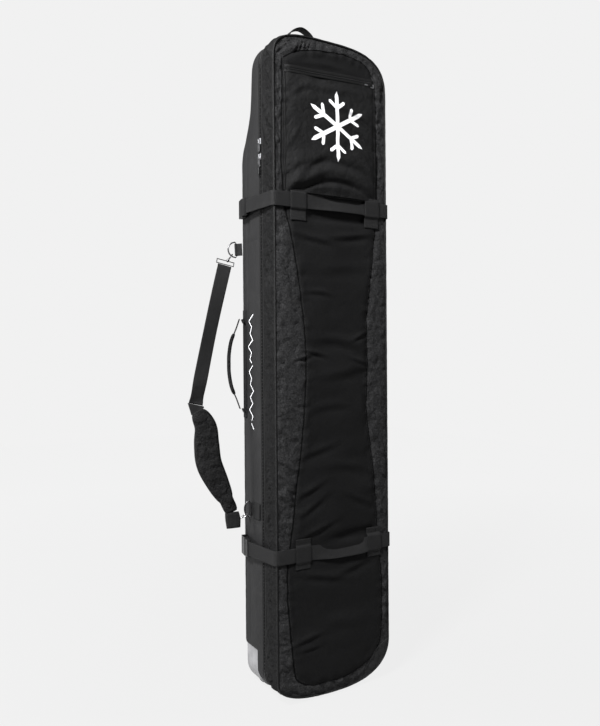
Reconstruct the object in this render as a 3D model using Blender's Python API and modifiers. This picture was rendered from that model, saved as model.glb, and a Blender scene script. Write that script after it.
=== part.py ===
"""Wheeled, padded snowboard bag standing on its wheel end: a tub and a zipped lid with buckled
compression straps, a clip-on shoulder strap, handles and two wheels.
Metres, +Z up, the lid faces -Y, the zip and the shoulder strap are on the -X side."""

import math

import bmesh
import bpy
from mathutils import Matrix, Vector

# ---- Driving dimensions ----
BAG_WIDTH = 0.350
BAG_DEPTH = 0.170
TOP_Z = 1.704
LOW_Z = 0.006
# Each corner of the outline, by (side, end): its height and the power of its superellipse
CORNERS = {(1, 1): (0.120, 3.0), (-1, 1): (0.085, 3.6), (-1, -1): (0.065, 2.6), (1, -1): (0.110, 2.4)}
ZIP_Y = -0.020  # plane in which the lid parts from the tub
ZIP_HALF = 0.008  # from the zip plane to each fabric edge
SKIN = 0.002
FOAM = 0.008
GAP = 0.0004
BEAD = 0.0028  # piping radius

STRAP_WIDTH = 0.038
STRAP_THICK = 0.002
UPPER_STRAP_Z = 1.2795
LOWER_STRAP_Z = 0.381

HALF_W = BAG_WIDTH / 2
FRONT_Y = -BAG_DEPTH / 2
BACK_Y = BAG_DEPTH / 2
LEFT = Vector((-1, 0, 0))
UP = Vector((0, 0, 1))

# Wheel end
WHEEL_RADIUS = 0.0375
WHEEL_WIDTH = 0.026
WHEEL_X = 0.128
WHEEL_Y = 0.067
WHEEL_Z = WHEEL_RADIUS + 0.002
AXLE_RADIUS = 0.004
HOUSING_INNER_X = 0.100
HOUSING_OUTER_X = 0.172
HOUSING_FRONT_Y = 0.022
HOUSING_TOP_Z = 0.112
HOUSING_CORNER = 0.060
SKID_LIP = 0.0045
SKID_FRONT_Y = -0.045

# Shoulder strap: the straight line through the bars of its two rings
LOWER_RING = Vector((-0.181, 0.045, 0.481))
UPPER_RING = Vector((-0.190, 0.100, 1.175))
RING_WIRE = 0.002
RING_HEIGHT = 0.043
UPPER_RING_REACH = 0.022
LOWER_RING_REACH = 0.0155
STRAP_AZIMUTH = math.radians(12)
TAB_WIDTH = 0.034
HOOK_RADIUS = 0.0088
HOOK_WIRE = 0.0018
SWIVEL_RADIUS = 0.0036
EYE_HALF = 0.0235

# Side handle
HANDLE_FOOT = Vector((-0.183, 0.080, 0.742))
HANDLE_SPAN = 0.248
HANDLE_WIDTH = 0.025
HANDLE_AZIMUTH = math.radians(20)

# Top handle
TOP_HANDLE_FOOT = Vector((-0.030, 0.020, TOP_Z + 0.0035))
TOP_HANDLE_HALF = 0.045
TOP_HANDLE_HEIGHT = 0.068

# Buckles
BUCKLE_MOUTH = Vector((-0.1892, 0.052, 0))
SOCKET_LENGTH = 0.032
PLUG_LENGTH = 0.024
INSERTION = 0.020
LATCH_FINGER = [(-0.0006, 0.0120), (-0.0006, 0.0160), (0.008, 0.0182), (0.015, 0.0186), (0.021, 0.0150),
                (0.021, 0.0125), (0.014, 0.0146), (0.006, 0.0138)]

for old in list(bpy.data.objects):
    bpy.data.objects.remove(old)

bag = bpy.data.collections.new("snowboard_bag")
cutters = bpy.data.collections.new("cutters")
bpy.context.scene.collection.children.link(bag)
bpy.context.scene.collection.children.link(cutters)


# ---- Materials ----
def material(name, colour, roughness, metallic=0.0):
    made = bpy.data.materials.new(name)
    made.use_nodes = True
    shader = made.node_tree.nodes["Principled BSDF"]
    shader.inputs["Base Color"].default_value = (*colour, 1)
    shader.inputs["Roughness"].default_value = roughness
    shader.inputs["Metallic"].default_value = metallic
    return made


smooth_fabric = material("smooth_fabric", (0.030, 0.030, 0.032), 0.75)
textured_fabric = material("textured_fabric", (0.020, 0.020, 0.021), 0.9)
webbing_black = material("webbing_black", (0.015, 0.015, 0.016), 0.8)
foam_grey = material("foam_grey", (0.12, 0.12, 0.13), 0.95)
zip_tape = material("zip_tape", (0.012, 0.012, 0.013), 0.7)
plastic_black = material("plastic_black", (0.015, 0.015, 0.016), 0.45)
plastic_grey = material("plastic_grey", (0.55, 0.56, 0.57), 0.5)
metal = material("metal", (0.62, 0.62, 0.64), 0.3, 1.0)
wheel_rubber = material("wheel_rubber", (0.05, 0.05, 0.052), 0.6)
print_white = material("print_white", (0.85, 0.85, 0.85), 0.6)


# ---- Shape tools ----
def keep(obj, mat):
    """Put a finished piece in the bag's collection, with its own material."""
    for holder in list(obj.users_collection):
        holder.objects.unlink(obj)
    bag.objects.link(obj)
    obj.data.materials.clear()
    obj.data.materials.append(mat)
    return obj


def as_cutter(obj):
    for holder in list(obj.users_collection):
        holder.objects.unlink(obj)
    cutters.objects.link(obj)
    obj.hide_render = True
    obj.display_type = "WIRE"


def combine(target, operation, others):
    for other in others:
        modifier = target.modifiers.new(operation.lower(), "BOOLEAN")
        modifier.operation = operation
        modifier.object = other
        as_cutter(other)
    return target


def cut(target, *others):
    return combine(target, "DIFFERENCE", others)


def fuse(target, *others):
    return combine(target, "UNION", others)


def object_from_bmesh(name, bm):
    mesh = bpy.data.meshes.new(name)
    bm.to_mesh(mesh)
    bm.free()
    obj = bpy.data.objects.new(name, mesh)
    bag.objects.link(obj)
    return obj


def block(name, low, high, frame=Matrix()):
    """A box between two corners, given in the frame."""
    low, high = Vector(low), Vector(high)
    bm = bmesh.new()
    place = Matrix.Translation((low + high) / 2) @ Matrix.Diagonal((*(high - low), 1))
    bmesh.ops.create_cube(bm, size=1, matrix=frame @ place)
    return object_from_bmesh(name, bm)


def cylinder(name, radius, start, end, segments=24, frame=Matrix()):
    start, end = Vector(start), Vector(end)
    along = end - start
    turn = along.to_track_quat("Z", "Y").to_matrix().to_4x4()
    bm = bmesh.new()
    bmesh.ops.create_cone(
        bm, cap_ends=True, segments=segments, radius1=radius, radius2=radius, depth=along.length,
        matrix=frame @ Matrix.Translation((start + end) / 2) @ turn,
    )
    return object_from_bmesh(name, bm)


def curve_mesh(name, data, frame):
    """The mesh of a curve, with its caps welded on, standing in the frame."""
    guide = bpy.data.objects.new(name + "_curve", data)
    bag.objects.link(guide)
    guide.matrix_world = frame
    bpy.context.view_layer.update()
    evaluated = guide.evaluated_get(bpy.context.evaluated_depsgraph_get())
    mesh = bpy.data.meshes.new_from_object(evaluated)
    bm = bmesh.new()
    bm.from_mesh(mesh)
    bmesh.ops.remove_doubles(bm, verts=bm.verts, dist=1e-6)
    bm.to_mesh(mesh)
    bm.free()
    mesh.name = name
    made = bpy.data.objects.new(name, mesh)
    bag.objects.link(made)
    made.matrix_world = guide.matrix_world
    bpy.data.objects.remove(guide)
    return made


def poly_spline(data, points, cyclic):
    spline = data.splines.new("POLY")
    spline.points.add(len(points) - 1)
    for target, point in zip(spline.points, points):
        target.co = (*Vector(point).to_3d(), 1)
    spline.use_cyclic_u = cyclic


def plate(name, loops, low, high, frame=Matrix()):
    """A flat piece: closed outlines in the frame's X and Y, between two heights on its Z."""
    data = bpy.data.curves.new(name, "CURVE")
    data.dimensions = "2D"
    data.fill_mode = "BOTH"
    data.extrude = (high - low) / 2
    for loop in loops:
        poly_spline(data, loop, True)
    return curve_mesh(name, data, frame @ Matrix.Translation((0, 0, (low + high) / 2)))


def tube(name, points, radius, cyclic=False, frame=Matrix(), sides=2):
    data = bpy.data.curves.new(name, "CURVE")
    data.dimensions = "3D"
    data.bevel_depth = radius
    data.bevel_resolution = sides
    data.use_fill_caps = True
    poly_spline(data, points, cyclic)
    return curve_mesh(name, data, frame)


def ribbon(name, path, width, thickness, frame=Matrix()):
    """Webbing: a path in the frame's X and Y, as wide as stated along its Z."""
    data = bpy.data.curves.new(name, "CURVE")
    data.dimensions = "2D"
    data.fill_mode = "NONE"
    data.extrude = width / 2
    poly_spline(data, path, False)
    made = curve_mesh(name, data, frame)
    solid = made.modifiers.new("thickness", "SOLIDIFY")
    solid.thickness = thickness
    solid.offset = 0
    solid.use_even_offset = True
    return made


def upright(y=0.0):
    """Frame whose X is world X and whose Y is world Z, standing at this depth; its Z is world -Y."""
    return Matrix.Translation((0, y, 0)) @ Matrix.Rotation(math.pi / 2, 4, "X")


def wall_plate(name, loops, y_low, y_high):
    """A flat piece with outlines in X, Z, between two depths."""
    return plate(name, loops, -y_high, -y_low, upright())


def rounded(path, radius, steps=4):
    """An open path with each inner corner turned into an arc."""
    path = [Vector(p) for p in path]
    points = [path[0]]
    for before, corner, after in zip(path, path[1:], path[2:]):
        back, ahead = (before - corner).normalized(), (after - corner).normalized()
        half = back.angle(ahead) / 2
        reach = radius / math.tan(half)
        centre = corner + (back + ahead).normalized() * radius / math.sin(half)
        start, end = corner + back * reach - centre, corner + ahead * reach - centre
        sweep = start.angle(end)
        for i in range(steps + 1):
            share = i / steps
            spoke = start * math.sin((1 - share) * sweep) + end * math.sin(share * sweep)
            points.append(centre + spoke / math.sin(sweep))
    return points + [path[-1]]


def smooth(knots, steps=4):
    """Points of a Catmull-Rom curve through the knots."""
    knots = [Vector(k) for k in knots]
    padded = [2 * knots[0] - knots[1], *knots, 2 * knots[-1] - knots[-2]]
    points = []
    for a, b, c, d in zip(padded, padded[1:], padded[2:], padded[3:]):
        for i in range(steps):
            t = i / steps
            bend = a - 2.5 * b + 2 * c - d / 2
            turn = 1.5 * (b - c) + (d - a) / 2
            points.append(b + (c - a) * t / 2 + bend * t**2 + turn * t**3)
    return points + [knots[-1]]


def arc(centre, radius, start, end, steps):
    """Points on a circle between two angles in degrees."""
    turns = [math.radians(start + (end - start) * i / steps) for i in range(steps + 1)]
    return [Vector((centre[0] + radius * math.cos(t), centre[1] + radius * math.sin(t))) for t in turns]


def bag_corner(side, end, inset, steps):
    """Points of one rounded corner, from the bag's side to the middle of its end, drawn in by inset."""
    height, power = CORNERS[side, end]
    extreme = TOP_Z if end > 0 else LOW_Z
    points = []
    for i in range(steps + 1):
        turn = math.pi / 2 * i / steps
        x = HALF_W * math.cos(turn) ** (2 / power) if i < steps else 0.0
        z = height * math.sin(turn) ** (2 / power)
        normal = Vector(((x / HALF_W) ** (power - 1) / HALF_W, (z / height) ** (power - 1) / height))
        point = Vector((x, z)) - normal.normalized() * inset
        points.append(Vector((side * point.x, extreme + end * (point.y - height))))
    return points


def bag_outline(inset=0.0, steps=11):
    """The bag's closed outline in X, Z, drawn in by inset: straight sides and rounded corners."""
    outline = bag_corner(1, 1, inset, steps)
    outline += bag_corner(-1, 1, inset, steps)[-2::-1]
    outline += bag_corner(-1, -1, inset, steps)
    outline += bag_corner(1, -1, inset, steps)[-2::-1]
    return outline


def end_height(x):
    """Height of the bag's underside at this X."""
    height, power = CORNERS[1 if x > 0 else -1, -1]
    return LOW_Z + height * (1 - (1 - abs(x / HALF_W) ** power) ** (1 / power))


def tray(name, y_open, y_closed):
    """The outer skin of one half: a wall round the outline, closed at the far side."""
    outline = bag_outline()
    bm = bmesh.new()
    rims = [[bm.verts.new((p.x, y, p.y)) for p in outline] for y in (y_open, y_closed)]
    for i in range(len(outline)):
        j = (i + 1) % len(outline)
        bm.faces.new((rims[0][i], rims[0][j], rims[1][j], rims[1][i]))
    bm.faces.new(rims[1])
    bmesh.ops.recalc_face_normals(bm, faces=bm.faces)
    centre = Vector((0, (y_open + y_closed) / 2, (TOP_Z + LOW_Z) / 2))
    side = max(bm.faces, key=lambda face: abs(face.calc_center_median().x))
    if side.normal.dot(side.calc_center_median() - centre) < 0:
        bmesh.ops.reverse_faces(bm, faces=bm.faces)
    made = object_from_bmesh(name, bm)
    solid = made.modifiers.new("thickness", "SOLIDIFY")
    solid.thickness = SKIN
    solid.offset = -1
    solid.use_even_offset = True
    return made


def joint_empty(name, place):
    empty = bpy.data.objects.new(name, None)
    empty.location = place
    bag.objects.link(empty)
    bpy.context.view_layer.update()
    return empty


def hang(empty, *pieces):
    """Parent pieces to their joint's empty where they stand."""
    for piece in pieces:
        piece.parent = empty
        piece.matrix_parent_inverse = empty.matrix_world.inverted()


def axes_frame(origin, x_axis, y_axis, z_axis):
    turn = Matrix((x_axis, y_axis, z_axis)).transposed().to_4x4()
    return Matrix.Translation(origin) @ turn


# ---- Tub: skin, foam, zip half, piping ----
def housing_room(name, side, extra):
    """The corner of the tub that a wheel housing fills, with a gap round it."""
    xs = sorted((side * (HOUSING_INNER_X - extra), side * 0.3))
    return block(name, (xs[0], HOUSING_FRONT_Y - extra, -0.1), (xs[1], 0.2, HOUSING_TOP_Z + extra))


def make_tub():
    edge = ZIP_Y + ZIP_HALF
    skin = keep(tray("tub_shell", edge, BACK_Y), smooth_fabric)
    inner = SKIN + GAP
    side_foam = keep(
        wall_plate("tub_side_padding", [bag_outline(inner), bag_outline(inner + FOAM)],
                   edge, BACK_Y - inner - FOAM - GAP),
        foam_grey)
    back_foam = keep(
        wall_plate("tub_back_padding", [bag_outline(inner)], BACK_Y - inner - FOAM, BACK_Y - inner),
        foam_grey)
    board = keep(
        wall_plate("back_stiffener", [bag_outline(inner + FOAM + 0.004)],
                   BACK_Y - inner - FOAM - GAP - 0.0015, BACK_Y - inner - FOAM - GAP),
        plastic_black)
    for piece in (skin, side_foam, back_foam, board):
        for side in (-1, 1):
            cut(piece, housing_room(f"room_{piece.name}_{side}", side, GAP))
    keep(wall_plate("main_zip_tub_half", [bag_outline(0.0), bag_outline(0.0012)],
                    ZIP_Y + 0.0015, edge - GAP), zip_tape)
    arch = [p for p in bag_outline(0.0022) if p.y > TOP_Z / 2]
    feet = [Vector((side * arch[0].x, HOUSING_TOP_Z + 2 * GAP)) for side in (1, -1)]
    bead_path = [(p.x, BACK_Y + BEAD + GAP, p.y) for p in [feet[0], *arch, feet[1]]]
    keep(tube("back_piping", bead_path, BEAD, sides=1), smooth_fabric)


def make_base_skid():
    """Moulded plate under the tub, with a flat lip that reaches forward below the lid."""
    reach = HOUSING_INNER_X - 0.001
    arch = [Vector((x, end_height(x) - GAP)) for x in [reach * (1 - i / 8) for i in range(17)]]
    saddle = wall_plate("base_skid", [[(-reach, 0), (reach, 0), *arch]], ZIP_Y + 0.0015, 0.080)
    lip = block("skid_lip", (-reach, SKID_FRONT_Y, 0), (reach, 0.060, SKID_LIP))
    return keep(fuse(saddle, lip), plastic_black)


def make_wheel(side, label):
    """One corner: moulded housing, axle, hub and tyre."""
    x0, x1 = HOUSING_INNER_X, HOUSING_OUTER_X
    bottom = 0.004
    corner = arc((x1 - HOUSING_CORNER, bottom + HOUSING_CORNER), HOUSING_CORNER, -90, 0, 8)
    profile = [Vector((x0, bottom)), *corner, Vector((x1, HOUSING_TOP_Z)), Vector((x0, HOUSING_TOP_Z))]
    profile = [Vector((side * p.x, p.y)) for p in profile]
    housing = wall_plate(f"wheel_housing_{label}", [profile], HOUSING_FRONT_Y, BACK_Y + 0.001)
    centre = Vector((side * WHEEL_X, WHEEL_Y, WHEEL_Z))
    half_well = WHEEL_WIDTH / 2 + 0.0015
    across = Vector((1, 0, 0))
    well = cylinder(f"well_{label}", WHEEL_RADIUS + 0.003,
                    centre - across * half_well, centre + across * half_well, 32)
    half_axle = 0.025
    hole = cylinder(f"axle_hole_{label}", AXLE_RADIUS + 0.0003,
                    centre - across * (half_axle + GAP), centre + across * (half_axle + GAP), 16)
    keep(cut(housing, well, hole), plastic_grey)
    axle = keep(cylinder(f"axle_{label}", AXLE_RADIUS,
                         centre - across * half_axle, centre + across * half_axle, 16), metal)
    rim, bore = 0.026, AXLE_RADIUS + 0.0004
    hub_half = WHEEL_WIDTH / 2 - 0.001
    hub = turned(f"wheel_hub_{label}",
                 [(rim, hub_half), (rim, -hub_half), (0.018, -hub_half), (0.015, -0.006),
                  (0.008, -hub_half), (bore, -hub_half), (bore, hub_half), (0.008, hub_half),
                  (0.015, 0.006), (0.018, hub_half)], centre)
    tyre_half = WHEEL_WIDTH / 2
    shoulder = 0.006
    tread = arc((WHEEL_RADIUS - shoulder, tyre_half - shoulder), shoulder, 90, 0, 3)
    lower = [Vector((p.x, -p.y)) for p in reversed(tread)]
    tyre = turned(f"tyre_{label}",
                  [Vector((rim + GAP, tyre_half)), *tread, *lower, Vector((rim + GAP, -tyre_half))], centre)
    keep(hub, plastic_grey)
    keep(tyre, wheel_rubber)
    hang(joint_empty(f"wheel_{label}_axis", centre), hub, tyre)
    return axle


def turned(name, profile, centre, segments=28):
    """A closed profile of radius and offset, turned about an axle along X."""
    bm = bmesh.new()
    corners = [bm.verts.new((p[0], 0, p[1])) for p in profile]
    for i, corner in enumerate(corners):
        bm.edges.new((corner, corners[(i + 1) % len(corners)]))
    made = object_from_bmesh(name, bm)
    made.matrix_world = Matrix.Translation(centre) @ Matrix.Rotation(math.pi / 2, 4, "Y")
    screw = made.modifiers.new("turn", "SCREW")
    screw.axis = "Z"
    screw.steps = screw.render_steps = segments
    screw.use_merge_vertices = True
    screw.merge_threshold = 0.0001
    screw.use_smooth_shade = True
    return made


# ---- Lid: skin, foam, zip half, piping, pocket, print ----
def make_lid():
    edge = ZIP_Y - ZIP_HALF
    inner = SKIN + GAP
    front = FRONT_Y
    pieces = [keep(tray("lid_shell", edge, front), textured_fabric)]
    pieces.append(keep(
        wall_plate("lid_side_padding", [bag_outline(inner), bag_outline(inner + FOAM)],
                   front + inner + FOAM + GAP, edge), foam_grey))
    pieces.append(keep(
        wall_plate("lid_front_padding", [bag_outline(inner)], front + inner, front + inner + FOAM),
        foam_grey))
    pieces.append(keep(
        wall_plate("main_zip_lid_half", [bag_outline(0.0), bag_outline(0.0012)],
                   edge + GAP, ZIP_Y - 0.0015), zip_tape))
    bead_path = [(p.x, front - BEAD - GAP, p.y) for p in bag_outline(0.0022)]
    pieces.append(keep(tube("front_piping", bead_path, BEAD, cyclic=True, sides=1), textured_fabric))
    pocket = [(-0.143, 1.314), (0.135, 1.314), (0.135, 1.604), (-0.143, 1.604)]
    pieces.append(keep(wall_plate("pocket_panel", [pocket], front - 0.0016, front - GAP), textured_fabric))
    tape = [(-0.143, 1.606), (0.130, 1.606), (0.130, 1.620), (-0.143, 1.620)]
    pieces.append(keep(wall_plate("pocket_zip", [tape], front - 0.0020, front - GAP), zip_tape))
    pieces.append(keep(
        wall_plate("front_emblem", [snowflake(0.008, 1.482, 0.092)], front - 0.0026, front - 0.0020),
        print_white))
    return pieces


def snowflake(x, z, radius):
    """A plain six-armed snow crystal: each arm has one pair of side twigs."""
    half = 0.055 * radius
    twig_at, twig_out, twig_rise = 0.52, 0.26, 0.20
    arm = [(0.16, -1), (twig_at, -1), (twig_at + twig_rise, -1), (twig_at + twig_rise + 0.10, -1),
           (twig_at + 0.16, -1), (0.93, -1), (1.0, 0), (0.93, 1), (twig_at + 0.16, 1),
           (twig_at + twig_rise + 0.10, 1), (twig_at + twig_rise, 1), (twig_at, 1), (0.16, 1)]
    tips = {2, 3, 9, 10}
    points = []
    for turn in range(6):
        angle = math.radians(60 * turn + 90)
        along = Vector((math.cos(angle), math.sin(angle)))
        across = along.orthogonal()
        for i, (share, side) in enumerate(arm):
            out = twig_out * radius if i in tips else half
            points.append(Vector((x, z)) + along * share * radius + across * side * out)
    return points


# ---- Buckled compression straps ----
def buckle_frame(z):
    """X runs into the socket along the lid's swing, Y is up, Z is the thickness."""
    lever = Vector((BUCKLE_MOUTH.x - HALF_W, BUCKLE_MOUTH.y + INSERTION / 2 - ZIP_Y, 0)).normalized()
    inward = Vector((lever.y, -lever.x, 0))
    return axes_frame(BUCKLE_MOUTH + UP * z, inward, UP, inward.cross(UP))


def make_buckle(label, z):
    frame = buckle_frame(z)
    socket = block(f"{label}_buckle_socket", (0, -0.024, -0.006), (SOCKET_LENGTH, 0.024, 0.006), frame)
    throat = block(f"{label}_throat", (-0.01, -0.020, -0.004), (0.024, 0.020, 0.004), frame)
    windows = block(f"{label}_windows", (0.008, -0.03, -0.0035), (0.018, 0.03, 0.0035), frame)
    slot = block(f"{label}_socket_slot", (0.0265, -0.0195, -0.02), (0.0295, 0.0195, 0.02), frame)
    keep(cut(socket, throat, windows, slot), plastic_black)

    plug = block(f"{label}_buckle_plug", (-PLUG_LENGTH, -0.022, -0.0045), (-0.001, 0.022, 0.0045), frame)
    tongue = block(f"{label}_tongue", (-0.004, -0.004, -0.0025), (INSERTION, 0.004, 0.0025), frame)
    slots = [
        block(f"{label}_plug_slot_{u}", (u, -0.0195, -0.02), (u + 0.003, 0.0195, 0.02), frame)
        for u in (-0.0205, -0.0135)
    ]
    keep(cut(fuse(plug, tongue), *slots), plastic_black)
    lid_pieces = [plug]
    for side, word in ((1, "top"), (-1, "bottom")):
        finger = [(u, side * v) for u, v in LATCH_FINGER]
        arm = keep(plate(f"{label}_latch_arm_{word}", [finger], -0.0025, 0.0025, frame), plastic_black)
        root = frame @ Vector((LATCH_FINGER[0][0], side * (LATCH_FINGER[0][1] + 0.0005), 0))
        hang(joint_empty(f"{label}_latch_{word}_axis", root), arm)

    # Webbing: lid side, from the right gusset round the front to the plug
    plug_end = frame @ Vector((-PLUG_LENGTH - 0.0005, 0, 0))
    front = FRONT_Y - 2 * BEAD - GAP - 0.0018
    level = Matrix.Translation((0, 0, z))
    path = rounded([(plug_end.x, plug_end.y), (-0.1885, ZIP_Y), (-0.180, front), (0.180, front),
                    (0.1772, -0.045)], 0.006)
    strap = ribbon(f"{label}_compression_strap", path, STRAP_WIDTH, STRAP_THICK, level)
    lid_pieces.append(keep(strap, webbing_black))
    # Webbing: tub side, from the socket round the back edge
    socket_end = frame @ Vector((SOCKET_LENGTH + 0.0005, 0, 0))
    path = rounded([(socket_end.x, socket_end.y), (-0.1802, 0.0925), (-0.168, 0.0935), (-0.150, 0.0866),
                    (-0.115, 0.0866)], 0.0025, 2)
    tail = ribbon(f"{label}_socket_webbing", path, STRAP_WIDTH, STRAP_THICK, level)
    keep(tail, webbing_black)
    return lid_pieces


def make_keeper(name, x, z_strap, z_low, z_high, width):
    """A webbing bridge sewn above and below a compression strap."""
    foot = FRONT_Y - 0.0030
    crown = FRONT_Y - 2 * BEAD - GAP - 0.0018 - STRAP_THICK / 2 - 0.0014
    half = STRAP_WIDTH / 2 + 0.0015
    rise = 0.003
    path = [(foot, z_low), (foot, z_strap - half - rise), (crown, z_strap - half),
            (crown, z_strap + half), (foot, z_strap + half + rise), (foot, z_high)]
    frame = axes_frame((x, 0, 0), Vector((0, 1, 0)), UP, Vector((1, 0, 0)))
    return keep(ribbon(name, rounded(path, 0.0015, 2), width, 0.0012, frame), webbing_black)


# ---- Zip sliders ----
def make_slider(name, frame):
    """Slider in its own frame: X along the zip, Z away from the bag."""
    body = block(f"{name}_slider", (-0.008, -0.006, 0.0016), (0.008, 0.006, 0.0034), frame)
    post = block(f"{name}_post", (-0.003, -0.0010, -0.0044), (0.003, 0.0010, 0.0018), frame)
    under = block(f"{name}_under", (-0.007, -0.0055, -0.0044), (0.007, 0.0055, -0.0026), frame)
    bridge = block(f"{name}_bridge", (-0.0055, -0.0015, 0.0030), (0.0055, 0.0015, 0.0078), frame)
    eye = block(f"{name}_eye", (-0.0040, -0.01, 0.0035), (0.0040, 0.01, 0.0066), frame)
    keep(fuse(body, post, under, cut(bridge, eye)), metal)
    hang(joint_empty(f"{name}_slide", frame.translation), body)
    make_pull(name, frame)


def make_pull(name, frame):
    """A flat pull whose top bar sits in the slider's bridge; it points along the frame's -X."""
    frame = frame @ Matrix.Translation((0, 0, 0.0051))
    outer = rounded_box_loop(-0.026, 0.0008, 0.0048, 0.0020)
    window = [(-0.0085, -0.0030), (-0.0008, -0.0030), (-0.0008, 0.0030), (-0.0085, 0.0030)]
    hole = arc((-0.0205, 0), 0.0022, 0, 315, 7)
    pull = keep(plate(f"{name}_pull", [outer, window, hole], -0.0006, 0.0006, frame), metal)
    hang(joint_empty(f"{name}_pull_axis", frame.translation), pull)


def rounded_box_loop(x_low, x_high, half_y, radius):
    corners = [((x_high - radius, half_y - radius), 0), ((x_low + radius, half_y - radius), 90),
               ((x_low + radius, radius - half_y), 180), ((x_high - radius, radius - half_y), 270)]
    return [p for centre, start in corners for p in arc(centre, radius, start, start + 90, 3)]


def make_pocket_slider():
    """The pocket's slider rides on top of its flat tape."""
    frame = axes_frame((0.108, FRONT_Y - 0.0020, 1.613), Vector((-1, 0, 0)), -UP, Vector((0, -1, 0)))
    body = block("pocket_slider", (-0.007, -0.005, 0.0004), (0.007, 0.005, 0.0026), frame)
    bridge = block("pocket_bridge", (-0.0055, -0.0015, 0.0020), (0.0055, 0.0015, 0.0070), frame)
    eye = block("pocket_eye", (-0.0040, -0.01, 0.0027), (0.0040, 0.01, 0.0058), frame)
    keep(fuse(body, cut(bridge, eye)), metal)
    hang(joint_empty("pocket_slide", frame.translation), body)
    make_pull("pocket", frame @ Matrix.Translation((0, 0, -0.0008)))


# ---- Handles ----
def make_side_handle():
    outward = Vector((-math.cos(HANDLE_AZIMUTH), math.sin(HANDLE_AZIMUTH), 0))
    frame = axes_frame(HANDLE_FOOT, outward, UP, outward.cross(UP))
    span = HANDLE_SPAN
    knots = [(0.008, 0.004), (0.017, 0.030), (0.030, 0.062), (0.036, 0.096), (0.037, span / 2),
             (0.036, span - 0.096), (0.030, span - 0.062), (0.017, span - 0.030), (0.008, span - 0.004)]
    path = smooth([Vector(k).to_3d() for k in knots], 3)
    webbing = keep(ribbon("side_handle_webbing", path, HANDLE_WIDTH, STRAP_THICK, frame), webbing_black)
    middle = [p for p in path if 0.042 < p.y < span - 0.042]
    grip = ribbon("side_handle_grip", middle, HANDLE_WIDTH + 0.008, 0.009, frame)
    channel = ribbon("grip_channel", path, HANDLE_WIDTH + 0.001, STRAP_THICK + 0.001, frame)
    keep(cut(grip, channel), webbing_black)
    hang(joint_empty("side_handle_axis", HANDLE_FOOT), webbing, grip)


def make_top_handle():
    """A standing loop of webbing, from foot to foot across the tub's top."""
    shape = [(-1, 0), (-0.98, 0.36), (-0.71, 0.77), (0, 1), (0.71, 0.77), (0.98, 0.36), (1, 0)]
    knots = [Vector((TOP_HANDLE_HALF * u, TOP_HANDLE_HEIGHT * v, 0)) for u, v in shape]
    frame = axes_frame(TOP_HANDLE_FOOT, Vector((1, 0, 0)), UP, Vector((0, -1, 0)))
    handle = keep(ribbon("top_handle", smooth(knots, 3), 0.025, STRAP_THICK, frame), webbing_black)
    hang(joint_empty("top_handle_axis", TOP_HANDLE_FOOT), handle)


# ---- Shoulder strap ----
def ring_frame(azimuth, place):
    """X points out from the ring line at this azimuth, Y to the front, Z along the line."""
    along = (UPPER_RING - LOWER_RING).normalized()
    outward = Vector((-math.cos(azimuth), math.sin(azimuth), 0))
    outward = (outward - along * outward.dot(along)).normalized()
    return axes_frame(place, outward, along.cross(outward), along)


def face_frame(frame):
    """The frame turned so that its X, Y lie in the strap's plane: out, and along the ring line."""
    return frame @ Matrix.Rotation(math.pi / 2, 4, "X")


def make_ring(name, frame, reach):
    half = RING_HEIGHT / 2
    bar = half - 0.0035
    bow = [Vector((reach * math.sin(t), -half * math.cos(t)))
           for t in [math.pi * (0.15 + 0.70 * i / 12) for i in range(13)]]
    corner = Vector((0.0028, half - 0.0005))
    path = [Vector((0, bar)), Vector((0, -bar)), Vector((corner.x, -corner.y)), *bow, corner]
    ring = tube(name, [p.to_3d() for p in path], RING_WIRE, cyclic=True, frame=face_frame(frame))
    return keep(ring, metal)


def make_ring_tab(name, frame, flat_low, flat_high):
    """A webbing tab folded round a ring's bar; the flat part is a box in the frame."""
    half = TAB_WIDTH / 2
    fold = cylinder(name, RING_WIRE + 0.0020, (0, 0, -half), (0, 0, half), 16, frame)
    flat = block(name + "_flat", (*flat_low, 0.0003 - half), (*flat_high, half - 0.0003), frame)
    bore = cylinder(name + "_bore", RING_WIRE + 0.0005, (0, 0, -2 * half), (0, 0, 2 * half), 16, frame)
    return keep(cut(fuse(fold, flat), bore), webbing_black)


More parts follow.
